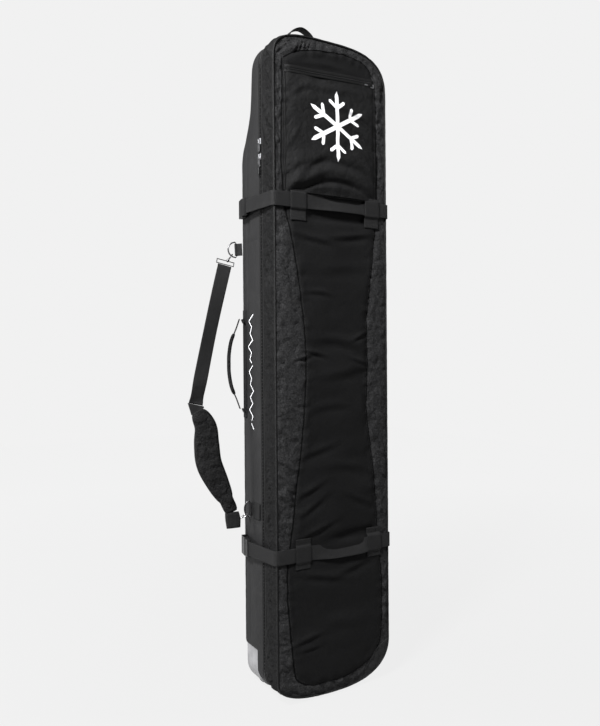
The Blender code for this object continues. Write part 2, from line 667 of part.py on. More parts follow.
def make_hook(label, frame, ring_centre, ring_reach, strap_point, eye_run=None):
    """Snap hook from the ring's bow to the strap. Points are out, along in the strap's plane.
    With an eye, a rectangular loop lies across the webbing's run. Returns the hook's own frame, its
    length and its pieces."""
    pull = (strap_point - ring_centre).normalized()
    half = RING_HEIGHT / 2
    size = math.hypot(ring_reach * pull.x, half * pull.y)
    ring_point = ring_centre + Vector((ring_reach**2 * pull.x, half**2 * pull.y)) / size
    along = (strap_point - ring_point).normalized()
    plane = face_frame(frame)
    centre = ring_point + along * 0.0045
    h_axis = (plane.to_3x3() @ along.to_3d()).normalized()
    m_axis = (plane.to_3x3() @ UP).normalized()
    hook_frame = axes_frame(plane @ centre.to_3d(), h_axis, m_axis, h_axis.cross(m_axis))
    reach = (strap_point - centre).length
    bend = [p.to_3d() for p in arc((0, 0), HOOK_RADIUS, 0, -238, 14)]
    hook = tube(f"{label}_hook", [Vector((reach - 0.0125, 0, 0)), *bend], HOOK_WIRE, frame=hook_frame)
    swivel = cylinder(f"{label}_swivel", SWIVEL_RADIUS,
                      (reach - 0.017, 0, 0), (reach - 0.0097, 0, 0), 14, hook_frame)
    fuse(hook, swivel)
    if eye_run:
        side = Vector((-eye_run.y, eye_run.x)) * EYE_HALF
        near, far = strap_point - eye_run * 0.0104, strap_point
        loop = [p.to_3d() for p in (near - side, near + side, far + side, far - side)]
        fuse(hook, tube(f"{label}_eye_frame", loop, HOOK_WIRE, cyclic=True, frame=plane, sides=1))
    keep(hook, metal)
    gate_path = [p.to_3d() for p in arc((0, 0), HOOK_RADIUS, 30, 101, 5)]
    gate = keep(tube(f"{label}_hook_gate", gate_path, 0.0014, frame=hook_frame), metal)
    hang(joint_empty(f"{label}_gate_axis", hook_frame @ gate_path[0]), gate)
    return hook_frame, reach, hook


def band(points, half):
    """Closed outline of a flat strip of this half width along a path of plane points."""
    left, right = [], []
    for i, point in enumerate(points):
        ahead = (points[min(i + 1, len(points) - 1)] - points[max(i - 1, 0)]).normalized()
        across = Vector((-ahead.y, ahead.x)) * (half(i / (len(points) - 1)) if callable(half) else half)
        left.append(point + across)
        right.append(point - across)
    return left + right[::-1]


def make_shoulder_strap():
    length = (UPPER_RING - LOWER_RING).length
    frame = ring_frame(STRAP_AZIMUTH, LOWER_RING)
    top_frame = frame @ Matrix.Translation((0, 0, length))
    plane = face_frame(frame)
    pieces = [make_ring("lower_d_ring", frame, LOWER_RING_REACH),
              make_ring("upper_d_ring", top_frame, UPPER_RING_REACH)]

    upper_end, elbow = Vector((0.033, length - 0.040)), Vector((0.131, 0.285))
    run = (elbow - upper_end).normalized()
    upper_hook = make_hook("upper", frame, Vector((0, length)), UPPER_RING_REACH, upper_end, run)[2]
    start = upper_end + run * (HOOK_WIRE + 0.0006)
    webbing = plate("shoulder_webbing", [band([start, elbow], STRAP_WIDTH / 2)], -0.001, 0.001, plane)
    pieces += [upper_hook, keep(webbing, webbing_black)]
    knots = [(0.1265, 0.2660), (0.1080, 0.225), (0.1075, 0.180), (0.1040, 0.130), (0.0850, 0.080),
             (0.0650, 0.035), (0.0500, -0.002)]
    spine = [p.to_2d() for p in smooth([Vector(k).to_3d() for k in knots], 3)]
    top, foot = elbow + run * 0.0006, spine[0]
    top_side, foot_side = run.orthogonal() * 0.021, (spine[1] - spine[0]).orthogonal().normalized() * 0.019
    adjuster_outline = [top + top_side, top - top_side, foot - foot_side, foot + foot_side]
    adjuster = plate("strap_adjuster", [adjuster_outline], -0.0025, 0.0025, plane)
    pieces.append(keep(adjuster, plastic_black))
    pad = plate("shoulder_pad", [band(spine[1:], pad_half_width)], -0.007, 0.007, plane)
    pieces.append(keep(pad, textured_fabric))
    down = (spine[-1] - spine[-2]).normalized()
    seam, across = spine[-1] + down * 0.0006, down.orthogonal() * 0.0175
    cap_outline = [seam - across, seam + across, (0.0690, -0.022), (0.0665, -0.045), (0.0285, -0.045),
                   (0.0275, -0.018)]
    cap = plate("pad_end_cap", [cap_outline], -0.0055, 0.0055, plane)
    lower_end = Vector((0.0475, -0.0300))
    hook_frame, reach, lower_hook = make_hook("lower", frame, Vector((0, 0)), LOWER_RING_REACH, lower_end)
    throat = cylinder("cap_throat", SWIVEL_RADIUS + 0.0004, (0, 0, 0), (reach - 0.0092, 0, 0), 14,
                      hook_frame)
    pieces += [keep(cut(cap, throat), webbing_black), lower_hook]
    hang(joint_empty("shoulder_strap_axis", LOWER_RING), *pieces)

    make_ring_tab("lower_ring_tab", ring_frame(0, LOWER_RING), (-0.0052, 0.0), (-0.0024, 0.042))
    make_ring_tab("upper_ring_tab", ring_frame(math.radians(35), UPPER_RING),
                  (-0.0150, -0.0015), (0.0, 0.0015))


def pad_half_width(share):
    return 0.017 + 0.016 * math.sin(math.pi * min(1.0, share * 1.15)) ** 0.6


# ---- The bag ----
make_tub()
make_base_skid()
make_wheel(-1, "left")
make_wheel(1, "right")
lid_pieces = make_lid()
lid_pieces += make_buckle("upper", UPPER_STRAP_Z)
lid_pieces += make_buckle("lower", LOWER_STRAP_Z)
lid_pieces += [
    make_keeper("upper_keeper_left", -0.1075, UPPER_STRAP_Z, 1.229, 1.308, 0.046),
    make_keeper("upper_keeper_right", 0.1220, UPPER_STRAP_Z, 1.229, 1.308, 0.046),
    make_keeper("lower_keeper_left", -0.1000, LOWER_STRAP_Z, 0.343, 0.421, 0.044),
    make_keeper("lower_keeper_right", 0.1230, LOWER_STRAP_Z, 0.343, 0.421, 0.044),
]
lid_axis = joint_empty("lid_axis", (HALF_W, ZIP_Y, (TOP_Z + LOW_Z) / 2))
hang(lid_axis, *lid_pieces)
for slider_name, slider_z in (("upper_zip", 1.437), ("lower_zip", 1.398)):
    zip_frame = axes_frame((-HALF_W, ZIP_Y, slider_z), UP, Vector((0, 1, 0)), LEFT)
    make_slider(slider_name, zip_frame)
make_pocket_slider()
make_side_handle()
make_top_handle()
make_shoulder_strap()
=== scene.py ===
"""Looks of a wheeled snowboard bag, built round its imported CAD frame.
Metres, +Z up, the lid faces -Y, the zip opening and the shoulder strap are on the -X side."""

import math

import bmesh
import bpy
import numpy as np
from mathutils import Matrix, Vector


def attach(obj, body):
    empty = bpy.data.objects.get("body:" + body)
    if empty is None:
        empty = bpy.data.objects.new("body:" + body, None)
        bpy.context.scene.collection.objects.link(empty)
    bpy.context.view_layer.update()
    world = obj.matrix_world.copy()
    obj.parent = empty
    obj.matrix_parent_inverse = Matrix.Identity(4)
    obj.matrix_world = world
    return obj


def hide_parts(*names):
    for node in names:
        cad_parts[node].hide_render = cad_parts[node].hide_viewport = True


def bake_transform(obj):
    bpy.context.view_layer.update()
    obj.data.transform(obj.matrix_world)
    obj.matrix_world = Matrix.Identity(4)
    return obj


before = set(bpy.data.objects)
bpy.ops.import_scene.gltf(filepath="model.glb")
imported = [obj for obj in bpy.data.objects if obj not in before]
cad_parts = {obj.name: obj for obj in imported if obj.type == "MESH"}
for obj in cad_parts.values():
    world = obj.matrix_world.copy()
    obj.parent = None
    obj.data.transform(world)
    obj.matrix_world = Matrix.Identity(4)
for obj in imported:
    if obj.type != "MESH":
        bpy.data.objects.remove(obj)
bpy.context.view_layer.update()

# ---- Sizes shared with the CAD ----
HALF_W = 0.175
TOP_Z, LOW_Z = 1.704, 0.006
FRONT_Y, BACK_Y = -0.085, 0.085
LID_EDGE, TUB_EDGE, ZIP_Y = -0.028, -0.012, -0.020
CORNERS = {(1, 1): (0.120, 3.0), (-1, 1): (0.085, 3.6), (-1, -1): (0.065, 2.6), (1, -1): (0.110, 2.4)}
UPPER_STRAP_Z, LOWER_STRAP_Z = 1.2795, 0.381
HOUSING_INNER, HOUSING_TOP, HOUSING_FRONT = 0.100, 0.112, 0.022
LOWER_RING = np.array([-0.181, 0.045, 0.481])
UPPER_RING = np.array([-0.190, 0.100, 1.175])
STRAP_AZIMUTH = math.radians(12)
HANDLE_FOOT = np.array([-0.183, 0.080, 0.742])
HANDLE_AZIMUTH = math.radians(20)
TOP_HANDLE_FOOT = np.array([-0.030, 0.020, TOP_Z + 0.0035])


# ---- Numbers ----
def lattice(i, j, seed):
    h = np.sin(i * 127.1 + j * 311.7 + seed * 74.7) * 43758.5453
    return h - np.floor(h)


def noise(u, v, seed=0):
    """Smooth noise from -0.5 to 0.5, one cell per unit."""
    u, v = np.broadcast_arrays(np.asarray(u, float), np.asarray(v, float))
    i, j = np.floor(u), np.floor(v)
    a, b = u - i, v - j
    a, b = a * a * (3 - 2 * a), b * b * (3 - 2 * b)
    low = lattice(i, j, seed) * (1 - a) + lattice(i + 1, j, seed) * a
    high = lattice(i, j + 1, seed) * (1 - a) + lattice(i + 1, j + 1, seed) * a
    return low * (1 - b) + high * b - 0.5


def bell(x, centre, width):
    return np.exp(-(((x - centre) / width) ** 2))


def step(x, low, high):
    t = np.clip((x - low) / (high - low), 0, 1)
    return t * t * (3 - 2 * t)


def spline(knots, count):
    """Points of a Catmull-Rom curve through the knots, evenly spaced."""
    k = np.asarray(knots, float)
    k = np.vstack([2 * k[0] - k[1], k, 2 * k[-1] - k[-2]])
    t = np.linspace(0, 1, 24, endpoint=False)[:, None]
    parts = []
    for a, b, c, d in zip(k, k[1:], k[2:], k[3:]):
        bend, twist = a - 2.5 * b + 2 * c - d / 2, 1.5 * (b - c) + (d - a) / 2
        parts.append(b + (c - a) * t / 2 + bend * t**2 + twist * t**3)
    return resample(np.vstack([*parts, k[-2:-1]]), count)


def unit(vectors):
    return vectors / np.linalg.norm(vectors, axis=-1)[..., None]


def length_of(line):
    return np.linalg.norm(np.diff(line, axis=0), axis=1).sum()


def distances(line):
    """How far along a line each of its points is."""
    return np.concatenate([[0], np.cumsum(np.linalg.norm(np.diff(line, axis=0), axis=1))])


def closed_line(points):
    return np.vstack([points, points[:1]])


def resample(points, count, closed=False):
    """The same line as evenly spaced points."""
    points = np.asarray(points, float)
    if closed:
        points = closed_line(points)
    run = distances(points)
    at = np.linspace(0, run[-1], count, endpoint=not closed)
    return np.stack([np.interp(at, run, points[:, i]) for i in range(points.shape[1])], 1)


def distance_to(x, z, line):
    """Distance from points to a polyline in X, Z, and how far along it the nearest point is."""
    flat = np.stack([x.ravel(), z.ravel()], 1)
    line = np.asarray(line, float)
    a, d = line[:-1], np.diff(line, axis=0)
    size = np.linalg.norm(d, axis=1)
    run = np.concatenate([[0], np.cumsum(size)])
    best, along = np.full(len(flat), 9.0), np.zeros(len(flat))
    for i in range(len(a)):
        t = np.clip(((flat - a[i]) @ d[i]) / max(size[i] ** 2, 1e-12), 0, 1)
        gap = np.linalg.norm(flat - a[i] - t[:, None] * d[i], axis=1)
        near = gap < best
        best[near] = gap[near]
        along[near] = run[i] + t[near] * size[i]
    return best.reshape(x.shape), along.reshape(x.shape)


def half_width(z, side):
    """Distance from the middle plane to the outline on this side, at these heights."""
    top, power = CORNERS[side, 1]
    low, low_power = CORNERS[side, -1]
    t = np.clip((z - TOP_Z + top) / top, 0, 1)
    b = np.clip((LOW_Z + low - z) / low, 0, 1)
    return HALF_W * (1 - t**power) ** (1 / power) * (1 - b**low_power) ** (1 / low_power)


def outline_points(count):
    """The bag's outline in X, Z, evenly spaced, from the middle of the right side over the top."""
    parts = []
    for side, end in ((1, 1), (-1, 1), (-1, -1), (1, -1)):
        height, power = CORNERS[side, end]
        turn = np.linspace(0, np.pi / 2, 160)
        x = side * HALF_W * np.cos(turn).clip(0) ** (2 / power)
        z = height * np.sin(turn) ** (2 / power) - height
        z = (TOP_Z if end > 0 else LOW_Z) + end * z
        part = np.stack([x, z], 1)
        parts.append(part if (side, end) in ((1, 1), (-1, -1)) else part[::-1])
    loop = np.vstack([[[HALF_W, 0.85]], *parts])
    return resample(loop, count, closed=True)


def outline_normals(loop):
    ahead = np.roll(loop, -1, 0) - np.roll(loop, 1, 0)
    out = unit(np.stack([ahead[:, 1], -ahead[:, 0]], 1))
    middle = np.array([0, (TOP_Z + LOW_Z) / 2])
    return out * np.sign(((loop - middle) * out).sum(1).mean())


# ---- Materials ----
def shader_of(name):
    made = bpy.data.materials.new(name)
    made.use_nodes = True
    tree = made.node_tree
    return made, tree, tree.nodes["Principled BSDF"]


def node(tree, kind, inputs=(), **settings):
    made = tree.nodes.new(kind)
    for key, value in settings.items():
        setattr(made, key, value)
    for key, value in dict(inputs).items():
        if isinstance(value, bpy.types.NodeSocket):
            tree.links.new(value, made.inputs[key])
        else:
            made.inputs[key].default_value = value
    return made


def maths(tree, operation, *values):
    made = tree.nodes.new("ShaderNodeMath")
    made.operation = operation
    for i, value in enumerate(values):
        if isinstance(value, bpy.types.NodeSocket):
            tree.links.new(value, made.inputs[i])
        else:
            made.inputs[i].default_value = value
    return made.outputs[0]


def noise_node(tree, scale, detail=3.0, rough=0.55):
    where = node(tree, "ShaderNodeTexCoord").outputs["Object"]
    return node(tree, "ShaderNodeTexNoise", {"Vector": where, "Scale": scale, "Detail": detail,
                                             "Roughness": rough}).outputs["Fac"]


def two_tones(tree, fac, low, high, at=(0.35, 0.65)):
    ramp = node(tree, "ShaderNodeMapRange", {"Value": fac, "From Min": at[0], "From Max": at[1]})
    mix = node(tree, "ShaderNodeMix", data_type="RGBA")
    tree.links.new(ramp.outputs[0], mix.inputs["Factor"])
    for socket, colour in ((6, low), (7, high)):
        if isinstance(colour, bpy.types.NodeSocket):
            tree.links.new(colour, mix.inputs[socket])
        else:
            mix.inputs[socket].default_value = (*colour, 1)
    return mix.outputs[2]


def varied_roughness(tree, shader, fac, low, high):
    ramp = node(tree, "ShaderNodeMapRange", {"Value": fac, "To Min": low, "To Max": high})
    tree.links.new(ramp.outputs[0], shader.inputs["Roughness"])


def bumped(tree, shader, heights):
    """Chain bumps onto the shader: (height, strength, distance) each."""
    normal = None
    for height, strength, distance in heights:
        bump = node(tree, "ShaderNodeBump", {"Height": height, "Strength": strength, "Distance": distance})
        if normal:
            tree.links.new(normal, bump.inputs["Normal"])
        normal = bump.outputs["Normal"]
    tree.links.new(normal, shader.inputs["Normal"])


def creased(tree, scale):
    """Sharp valleys where a noise crosses its middle, as crumpled cloth has."""
    centred = maths(tree, "SUBTRACT", noise_node(tree, scale, 3.0, 0.5), 0.5)
    return maths(tree, "MINIMUM", maths(tree, "MULTIPLY", maths(tree, "ABSOLUTE", centred), 7.0), 1.0)


def woven(name, tones, rough, pitch, strength=0.5, kind="plain", grain=260.0, specular=0.25, crinkle=0.0):
    """Cloth whose threads run along the mesh's own cloth coordinates, in metres."""
    made, tree, shader = shader_of(name)
    cloth = node(tree, "ShaderNodeAttribute", attribute_name="cloth").outputs["Vector"]
    axes = node(tree, "ShaderNodeSeparateXYZ", {"Vector": cloth})
    u = maths(tree, "MULTIPLY", axes.outputs["X"], 2 * math.pi / pitch[0])
    v = maths(tree, "MULTIPLY", axes.outputs["Y"], 2 * math.pi / pitch[1])
    if kind == "twill":
        weave = maths(tree, "SINE", maths(tree, "ADD", u, v))
        cross = maths(tree, "SINE", maths(tree, "SUBTRACT", u, v))
        weave = maths(tree, "MAXIMUM", weave, maths(tree, "MULTIPLY", cross, 0.6))
    else:
        weave = maths(tree, "MULTIPLY", maths(tree, "SINE", u), maths(tree, "SINE", v))
    mottled = noise_node(tree, grain, 4.0, 0.6)
    broad = noise_node(tree, 14.0, 3.0)
    base = two_tones(tree, mottled, *tones)
    worn = tuple(min(1.0, c * 1.35) for c in tones[1])
    base = two_tones(tree, broad, base, worn, (0.52, 0.95))
    tree.links.new(base, shader.inputs["Base Color"])
    varied_roughness(tree, shader, mottled, *rough)
    heights = [(mottled, 0.35, 0.0006), (weave, strength, 0.0004)]
    if crinkle:
        heights.insert(0, (creased(tree, 26.0), crinkle, 0.0036))
    bumped(tree, shader, heights)
    shader.inputs["Specular IOR Level"].default_value = specular
    return made


def moulded(name, tones, rough, grain=900.0, strength=0.25, metallic=0.0, specular=0.5, scuff=35.0):
    """Moulded plastic, rubber or metal with a fine surface and some scuffs."""
    made, tree, shader = shader_of(name)
    fine = noise_node(tree, grain, 2.0)
    broad = noise_node(tree, scuff, 5.0, 0.65)
    tree.links.new(two_tones(tree, broad, *tones), shader.inputs["Base Color"])
    varied_roughness(tree, shader, broad, *rough)
    bumped(tree, shader, [(fine, strength, 0.0003)])
    shader.inputs["Metallic"].default_value = metallic
    shader.inputs["Specular IOR Level"].default_value = specular
    return made


def grey(value):
    return (value, value, value * 1.03)


FABRIC = {
    "panel": woven("panel_cloth", (grey(0.0042), grey(0.0072)), (0.62, 0.76), (0.0011, 0.0011), 0.35,
                   grain=420.0, specular=0.07, crinkle=0.35),
    "gusset": woven("gusset_cloth", (grey(0.0020), grey(0.0078)), (0.60, 0.76), (0.0022, 0.0022), 0.6,
                    grain=300.0, specular=0.08, crinkle=0.85),
    "side": woven("side_cloth", (grey(0.0098), grey(0.0128)), (0.52, 0.66), (0.0010, 0.0010), 0.3,
                  grain=420.0, specular=0.10, crinkle=0.15),
    "webbing": woven("webbing_cloth", (grey(0.0050), grey(0.0095)), (0.52, 0.68), (0.0036, 0.0030), 0.9,
                     kind="twill", grain=600.0, specular=0.12),
    "tape": woven("zip_cloth", (grey(0.003), grey(0.005)), (0.6, 0.7), (0.0012, 0.0012), 0.5, grain=600.0,
                  specular=0.08),
    "lining": woven("lining_cloth", (grey(0.055), grey(0.075)), (0.55, 0.7), (0.0014, 0.0014), 0.4,
                    grain=300.0, crinkle=0.3, specular=0.15),
    "piping": woven("piping_cloth", (grey(0.0030), grey(0.0050)), (0.5, 0.62), (0.0016, 0.0016), 0.4,
                    grain=500.0, specular=0.14),
    "seam": woven("seam_cloth", (grey(0.0010), grey(0.0018)), (0.75, 0.85), (0.0016, 0.0016), 0.4,
                  grain=500.0, specular=0.04),
    "thread": woven("thread", (grey(0.016), grey(0.024)), (0.5, 0.6), (0.0008, 0.0008), 0.5, grain=900.0,
                    specular=0.2),
}
SOLID = {
    "black": moulded("black_plastic", (grey(0.007), grey(0.011)), (0.30, 0.45), specular=0.35),
    "grey": moulded("grey_plastic", (grey(0.13), grey(0.19)), (0.32, 0.50), specular=0.4),
    "rubber": moulded("black_rubber", (grey(0.02), grey(0.035)), (0.6, 0.85), grain=500.0, strength=0.4),
    "metal": moulded("plated_metal", (grey(0.55), grey(0.68)), (0.22, 0.38), grain=700.0, strength=0.1,
                     metallic=1.0, scuff=120.0),
    "dark_metal": moulded("black_metal", (grey(0.05), grey(0.09)), (0.28, 0.42), grain=700.0, strength=0.1,
                          metallic=1.0, scuff=120.0),
    "print": moulded("white_print", (grey(0.62), grey(0.70)), (0.5, 0.62), grain=1500.0, strength=0.3,
                     scuff=400.0),
}
SLOT_OF = {**dict.fromkeys(("panel", "gusset", "piping", "seam", "front"), "textured_fabric"),
           **dict.fromkeys(("webbing", "thread"), "webbing"), **dict.fromkeys(("metal", "dark_metal"), "metal"),
           "side": "smooth_fabric", "tape": "zip_tape", "lining": "foam", "black": "plastic_black",
           "grey": "plastic_grey", "rubber": "wheel_rubber", "print": "print"}


# ---- Meshes ----
def piece(name, verts, faces, look, body, cloth=None, replaces=(), smooth=True, thick=0.0, outward=None):
    """One visible piece riding on a body; when body is (a, b, start, end) its transform is baked in and it rides on
    no body.
    An open sheet says which way it faces: a vector, or "away" from the bag's middle."""
    mesh = bpy.data.meshes.new(name)
    verts = np.asarray(verts, float).reshape(-1, 3)
    mesh.from_pydata(verts.tolist(), [], [tuple(int(i) for i in f) for f in faces])
    mesh.update()
    if cloth is not None:
        values = np.zeros((len(verts), 3), np.float32)
        values[:, :2] = np.asarray(cloth, float).reshape(-1, 2)
        mesh.attributes.new("cloth", "FLOAT_VECTOR", "POINT").data.foreach_set("vector", values.ravel())
    bm = bmesh.new()
    bm.from_mesh(mesh)
    bmesh.ops.recalc_face_normals(bm, faces=bm.faces)
    if outward is not None:
        lean = 0.0
        for face in bm.faces:
            spot = face.calc_center_median()
            away = Vector((spot.x, 0, spot.z - min(max(spot.z, 0.2), 1.5)))
            away = away if outward == "away" else Vector(outward)
            lean += face.normal.dot(away) * face.calc_area()
        if lean < 0:
            bmesh.ops.reverse_faces(bm, faces=bm.faces)
    for face in bm.faces:
        face.smooth = smooth
    bm.to_mesh(mesh)
    bm.free()
    obj = bpy.data.objects.new(name, mesh)
    bpy.context.scene.collection.objects.link(obj)
    mesh.materials.append(FABRIC.get(look) or SOLID[look])
    if thick:
        solid = obj.modifiers.new("thickness", "SOLIDIFY")
        solid.thickness, solid.offset = thick, -1
    if isinstance(body, str):
        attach(obj, body)
    else:
        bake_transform(obj)
    if replaces:
        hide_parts(*replaces)
    return obj


def grid_faces(rows, cols, wrap_rows=False, wrap_cols=False):
    index = np.arange(rows * cols).reshape(rows, cols)
    if wrap_rows:
        index = np.vstack([index, index[:1]])
    if wrap_cols:
        index = np.hstack([index, index[:, :1]])
    return np.stack([index[:-1, :-1], index[1:, :-1], index[1:, 1:], index[:-1, 1:]], -1).reshape(-1, 4)


def runs(points, axis):
    """Distance along one axis of a grid of points."""
    gaps = np.linalg.norm(np.diff(points, axis=axis), axis=2)
    pad = [(0, 0), (0, 0)]
    pad[axis] = (1, 0)
    return np.pad(np.cumsum(gaps, axis=axis), pad)


def sheet_piece(name, points, look, body, wrap_rows=False, wrap_cols=False, drop=None, **more):
    rows, cols = points.shape[:2]
    faces = grid_faces(rows, cols, wrap_rows, wrap_cols)
    flat = points.reshape(-1, 3)
    if drop is not None:
        gone = drop(flat)
        faces = faces[~gone[faces].any(axis=1)]
    cloth = np.stack([runs(points, 0), runs(points, 1)], -1)
    used = np.unique(faces)
    new = np.zeros(len(flat), int)
    new[used] = np.arange(len(used))
    return piece(name, flat[used], new[faces], look, body, cloth.reshape(-1, 2)[used], **more)


def frames_along(path, up, closed=False):
    """Side and normal at each point, with the normal kept near up."""
    path = np.asarray(path, float)
    ahead = unit(np.roll(path, -1, 0) - np.roll(path, 1, 0) if closed else np.gradient(path, axis=0))
    side = unit(np.cross(ahead, np.broadcast_to(np.asarray(up, float), path.shape)))
    return side, np.cross(side, ahead)


def loft_faces(rows, cols, closed=False):
    """Faces of a tube of rows, with flat ends unless it closes on itself."""
    faces = [tuple(f) for f in grid_faces(rows, cols, closed, True)]
    if not closed:
        faces += [tuple(range(cols)), tuple(range((rows - 1) * cols, rows * cols))[::-1]]
    return faces


def loft(name, rows, look, body, **more):
    rows = np.array(rows)
    cloth = np.stack([runs(rows, 0), runs(rows, 1)], -1)
    return piece(name, rows, loft_faces(*rows.shape[:2]), look, body, cloth, **more)


def swept(name, path, section, look, body, up=(0, 0, 1), closed=False, twist=0.0, scale=1.0, **more):
    """A closed section, as (side, normal) points, carried along a path; flat ends unless closed."""
    path = np.asarray(path, float)
    side, out = frames_along(path, up, closed)
    turn = np.broadcast_to(np.asarray(twist, float), len(path))[:, None]
    side, out = side * np.cos(turn) + out * np.sin(turn), out * np.cos(turn) - side * np.sin(turn)
    section = np.asarray(section, float)
    size = np.broadcast_to(np.asarray(scale, float), len(path))[:, None, None]
    points = path[:, None] + size * (section[None, :, :1] * side[:, None] + section[None, :, 1:] * out[:, None])
    shape = points.shape[:2]
    cloth = np.stack([runs(points, 0), np.broadcast_to(distances(section), shape)], -1)
    return piece(name, points, loft_faces(*shape, closed), look, body, cloth, **more)


def flat_section(width, thick, count=7):
    """Webbing's section: flat, with rounded edges."""
    half, edge = width / 2, thick / 2
    top = [(x, edge) for x in np.linspace(-half + edge, half - edge, count)]
    turn = np.radians([60, 30, 0, -30, -60])
    right = [(half - edge + edge * math.cos(t), edge * math.sin(t)) for t in turn]
    return np.array(top + right + [(-x, -y) for x, y in top] + [(-x, -y) for x, y in right])


def round_section(radius, count=10):
    turn = np.linspace(0, 2 * np.pi, count, endpoint=False)
    return np.stack([np.cos(turn), np.sin(turn)], 1) * radius


def oval_section(half, thick, powers, count):
    """A flattened section, squarer at its sides or faces as the powers fall below 1."""
    turn = np.linspace(0, 2 * np.pi, count, endpoint=False)
    c, s = np.cos(turn), np.sin(turn)
    return np.stack([half * np.sign(c) * np.abs(c) ** powers[0], thick * np.sign(s) * np.abs(s) ** powers[1]], 1)


def blocks_piece(name, blocks, body):
    """Zip teeth: each is eight corners, four at its foot and four at its top."""
    shape = ((0, 1, 2, 3), (4, 5, 6, 7), (0, 1, 5, 4), (1, 2, 6, 5), (2, 3, 7, 6), (3, 0, 4, 7))
    faces = [tuple(8 * i + k for k in face) for i in range(len(blocks)) for face in shape]
    piece(name, blocks, faces, "black", body, np.zeros((8 * len(blocks), 2)), smooth=False)


def crossed_box(box, count):
    """Lines of a stitched box whose first point is repeated last, and its two diagonals."""
    box = np.array(box)
    return [resample(box, count), box[[0, 2]], box[[1, 3]]]


def stitches(name, lines, body, outward, width=0.0007):
    """Rows of short raised stitches along lines of points; outward is a unit vector or one per point."""
    pitch, length = 0.0042, 0.0026
    verts, faces = [], []
    shape = np.array([(-1, 0, -1), (-0.7, 0.8, 0), (0.7, 0.8, 0), (1, 0, -1), (0.7, -0.8, 0), (-0.7, -0.8, 0),
                      (0, 0.7, 0.9), (0, -0.7, 0.9)])
    pattern = [(0, 1, 6), (0, 6, 7), (0, 7, 5), (1, 2, 6), (2, 3, 6), (3, 7, 6), (3, 4, 7), (4, 5, 7),
               (0, 5, 4, 3, 2, 1)]
    for line, out in zip(lines, outward):
        line = np.asarray(line, float)
        count = max(2, int(length_of(line) / pitch))
        points = resample(np.hstack([line, np.broadcast_to(out, line.shape)]), count)
        spots, outs = points[:, :3], points[:, 3:]
        ahead = np.gradient(spots, axis=0)
        for spot, out_, go in zip(spots, outs, ahead):
            go = unit(go)
            out_ = unit(out_ - go * (out_ @ go))
            side = np.cross(go, out_)
            base = len(verts)
            for a, b, c in shape:
                verts.append(spot + go * a * length / 2 + side * b * width / 2 + out_ * c * width / 2)
            faces += [tuple(base + i for i in f) for f in pattern]
    return piece(name, verts, faces, "thread", body, np.zeros((len(verts), 2)))


# ---- Lid front: one padded face with sewn bands ----
LEFT_SEAM = spline([(-0.0929, 0.0454), (-0.1151, 0.0590), (-0.1250, 0.0770), (-0.1343, 0.1448), (-0.1441, 0.2502),
                    (-0.1454, 0.3190), (-0.1400, 0.3800), (-0.1300, 0.4476), (-0.1209, 0.5338), (-0.1062, 0.6354),
                    (-0.0951, 0.7380), (-0.0887, 0.8464), (-0.0915, 0.9395), (-0.1038, 1.0474), (-0.1195, 1.1492),
                    (-0.1308, 1.2044), (-0.1440, 1.2700), (-0.1520, 1.3525), (-0.1533, 1.4072), (-0.1499, 1.5538),
                    (-0.1486, 1.5979), (-0.1507, 1.6307)], 300)
RIGHT_SEAM = spline([(0.1180, 0.0720), (0.1380, 0.1020), (0.1494, 0.1552), (0.1496, 0.2823), (0.1430, 0.3800),
                     (0.1330, 0.4675), (0.1237, 0.5788), (0.1160, 0.6345), (0.1060, 0.6950), (0.1010, 0.7500),
                     (0.1040, 0.8433), (0.1046, 0.8870), (0.1031, 0.9417), (0.1056, 1.0018), (0.1142, 1.0568),
                     (0.1215, 1.1120), (0.1288, 1.1674), (0.1390, 1.2500), (0.1430, 1.3727), (0.1392, 1.4517),
                     (0.1374, 1.5308), (0.1355, 1.5939), (0.1236, 1.6469)], 300)
ARCH_SEAM = spline([(-0.1507, 1.6307), (-0.1359, 1.6412), (-0.1102, 1.6561), (-0.0798, 1.6655), (-0.0445, 1.6726),
                    (0.0007, 1.6770), (0.0378, 1.6802), (0.0755, 1.6760), (0.0995, 1.6694), (0.1164, 1.6573),
                    (0.1236, 1.6469)], 110)
LOW_SEAM = spline([(-0.0929, 0.0454), (-0.0725, 0.0396), (-0.0434, 0.0376), (-0.0095, 0.0373), (0.0251, 0.0385),
                   (0.0604, 0.0463), (0.0900, 0.0580), (0.1180, 0.0720)], 90)
PANEL_EDGE = np.vstack([LEFT_SEAM, ARCH_SEAM[1:], RIGHT_SEAM[::-1][1:], LOW_SEAM[::-1][1:]])
MITRE_SEAM = np.array([(-0.1735, 1.6231), (-0.1490, 1.6005)])
CROWN = np.array([(0.000, 6.0), (0.060, 8.5), (0.150, 10.0), (0.300, 9.5), (0.352, 6.4), (0.400, 6.2),
                  (0.470, 9.0), (0.600, 11.0), (0.900, 11.5), (1.100, 10.5), (1.200, 8.5), (1.248, 5.6), (1.305, 6.0),
                  (1.350, 8.0), (1.500, 8.5), (1.630, 7.5), (1.720, 6.0)])
OUTLINE = outline_points(420)


def inside_panel(x, z):
    """Signed distance to the centre panel's seam, positive inside it."""
    gap, _ = distance_to(x, z, closed_line(PANEL_EDGE))
    left = np.interp(z, LEFT_SEAM[:, 1], LEFT_SEAM[:, 0])
    right = np.interp(z, RIGHT_SEAM[:, 1], RIGHT_SEAM[:, 0])
    arch = np.interp(x, ARCH_SEAM[:, 0], ARCH_SEAM[:, 1])
    low = np.interp(x, LOW_SEAM[:, 0], LOW_SEAM[:, 1])
    inside = (x > left) & (x < right) & (z < arch) & (z > low)
    return np.where(inside, gap, -gap)


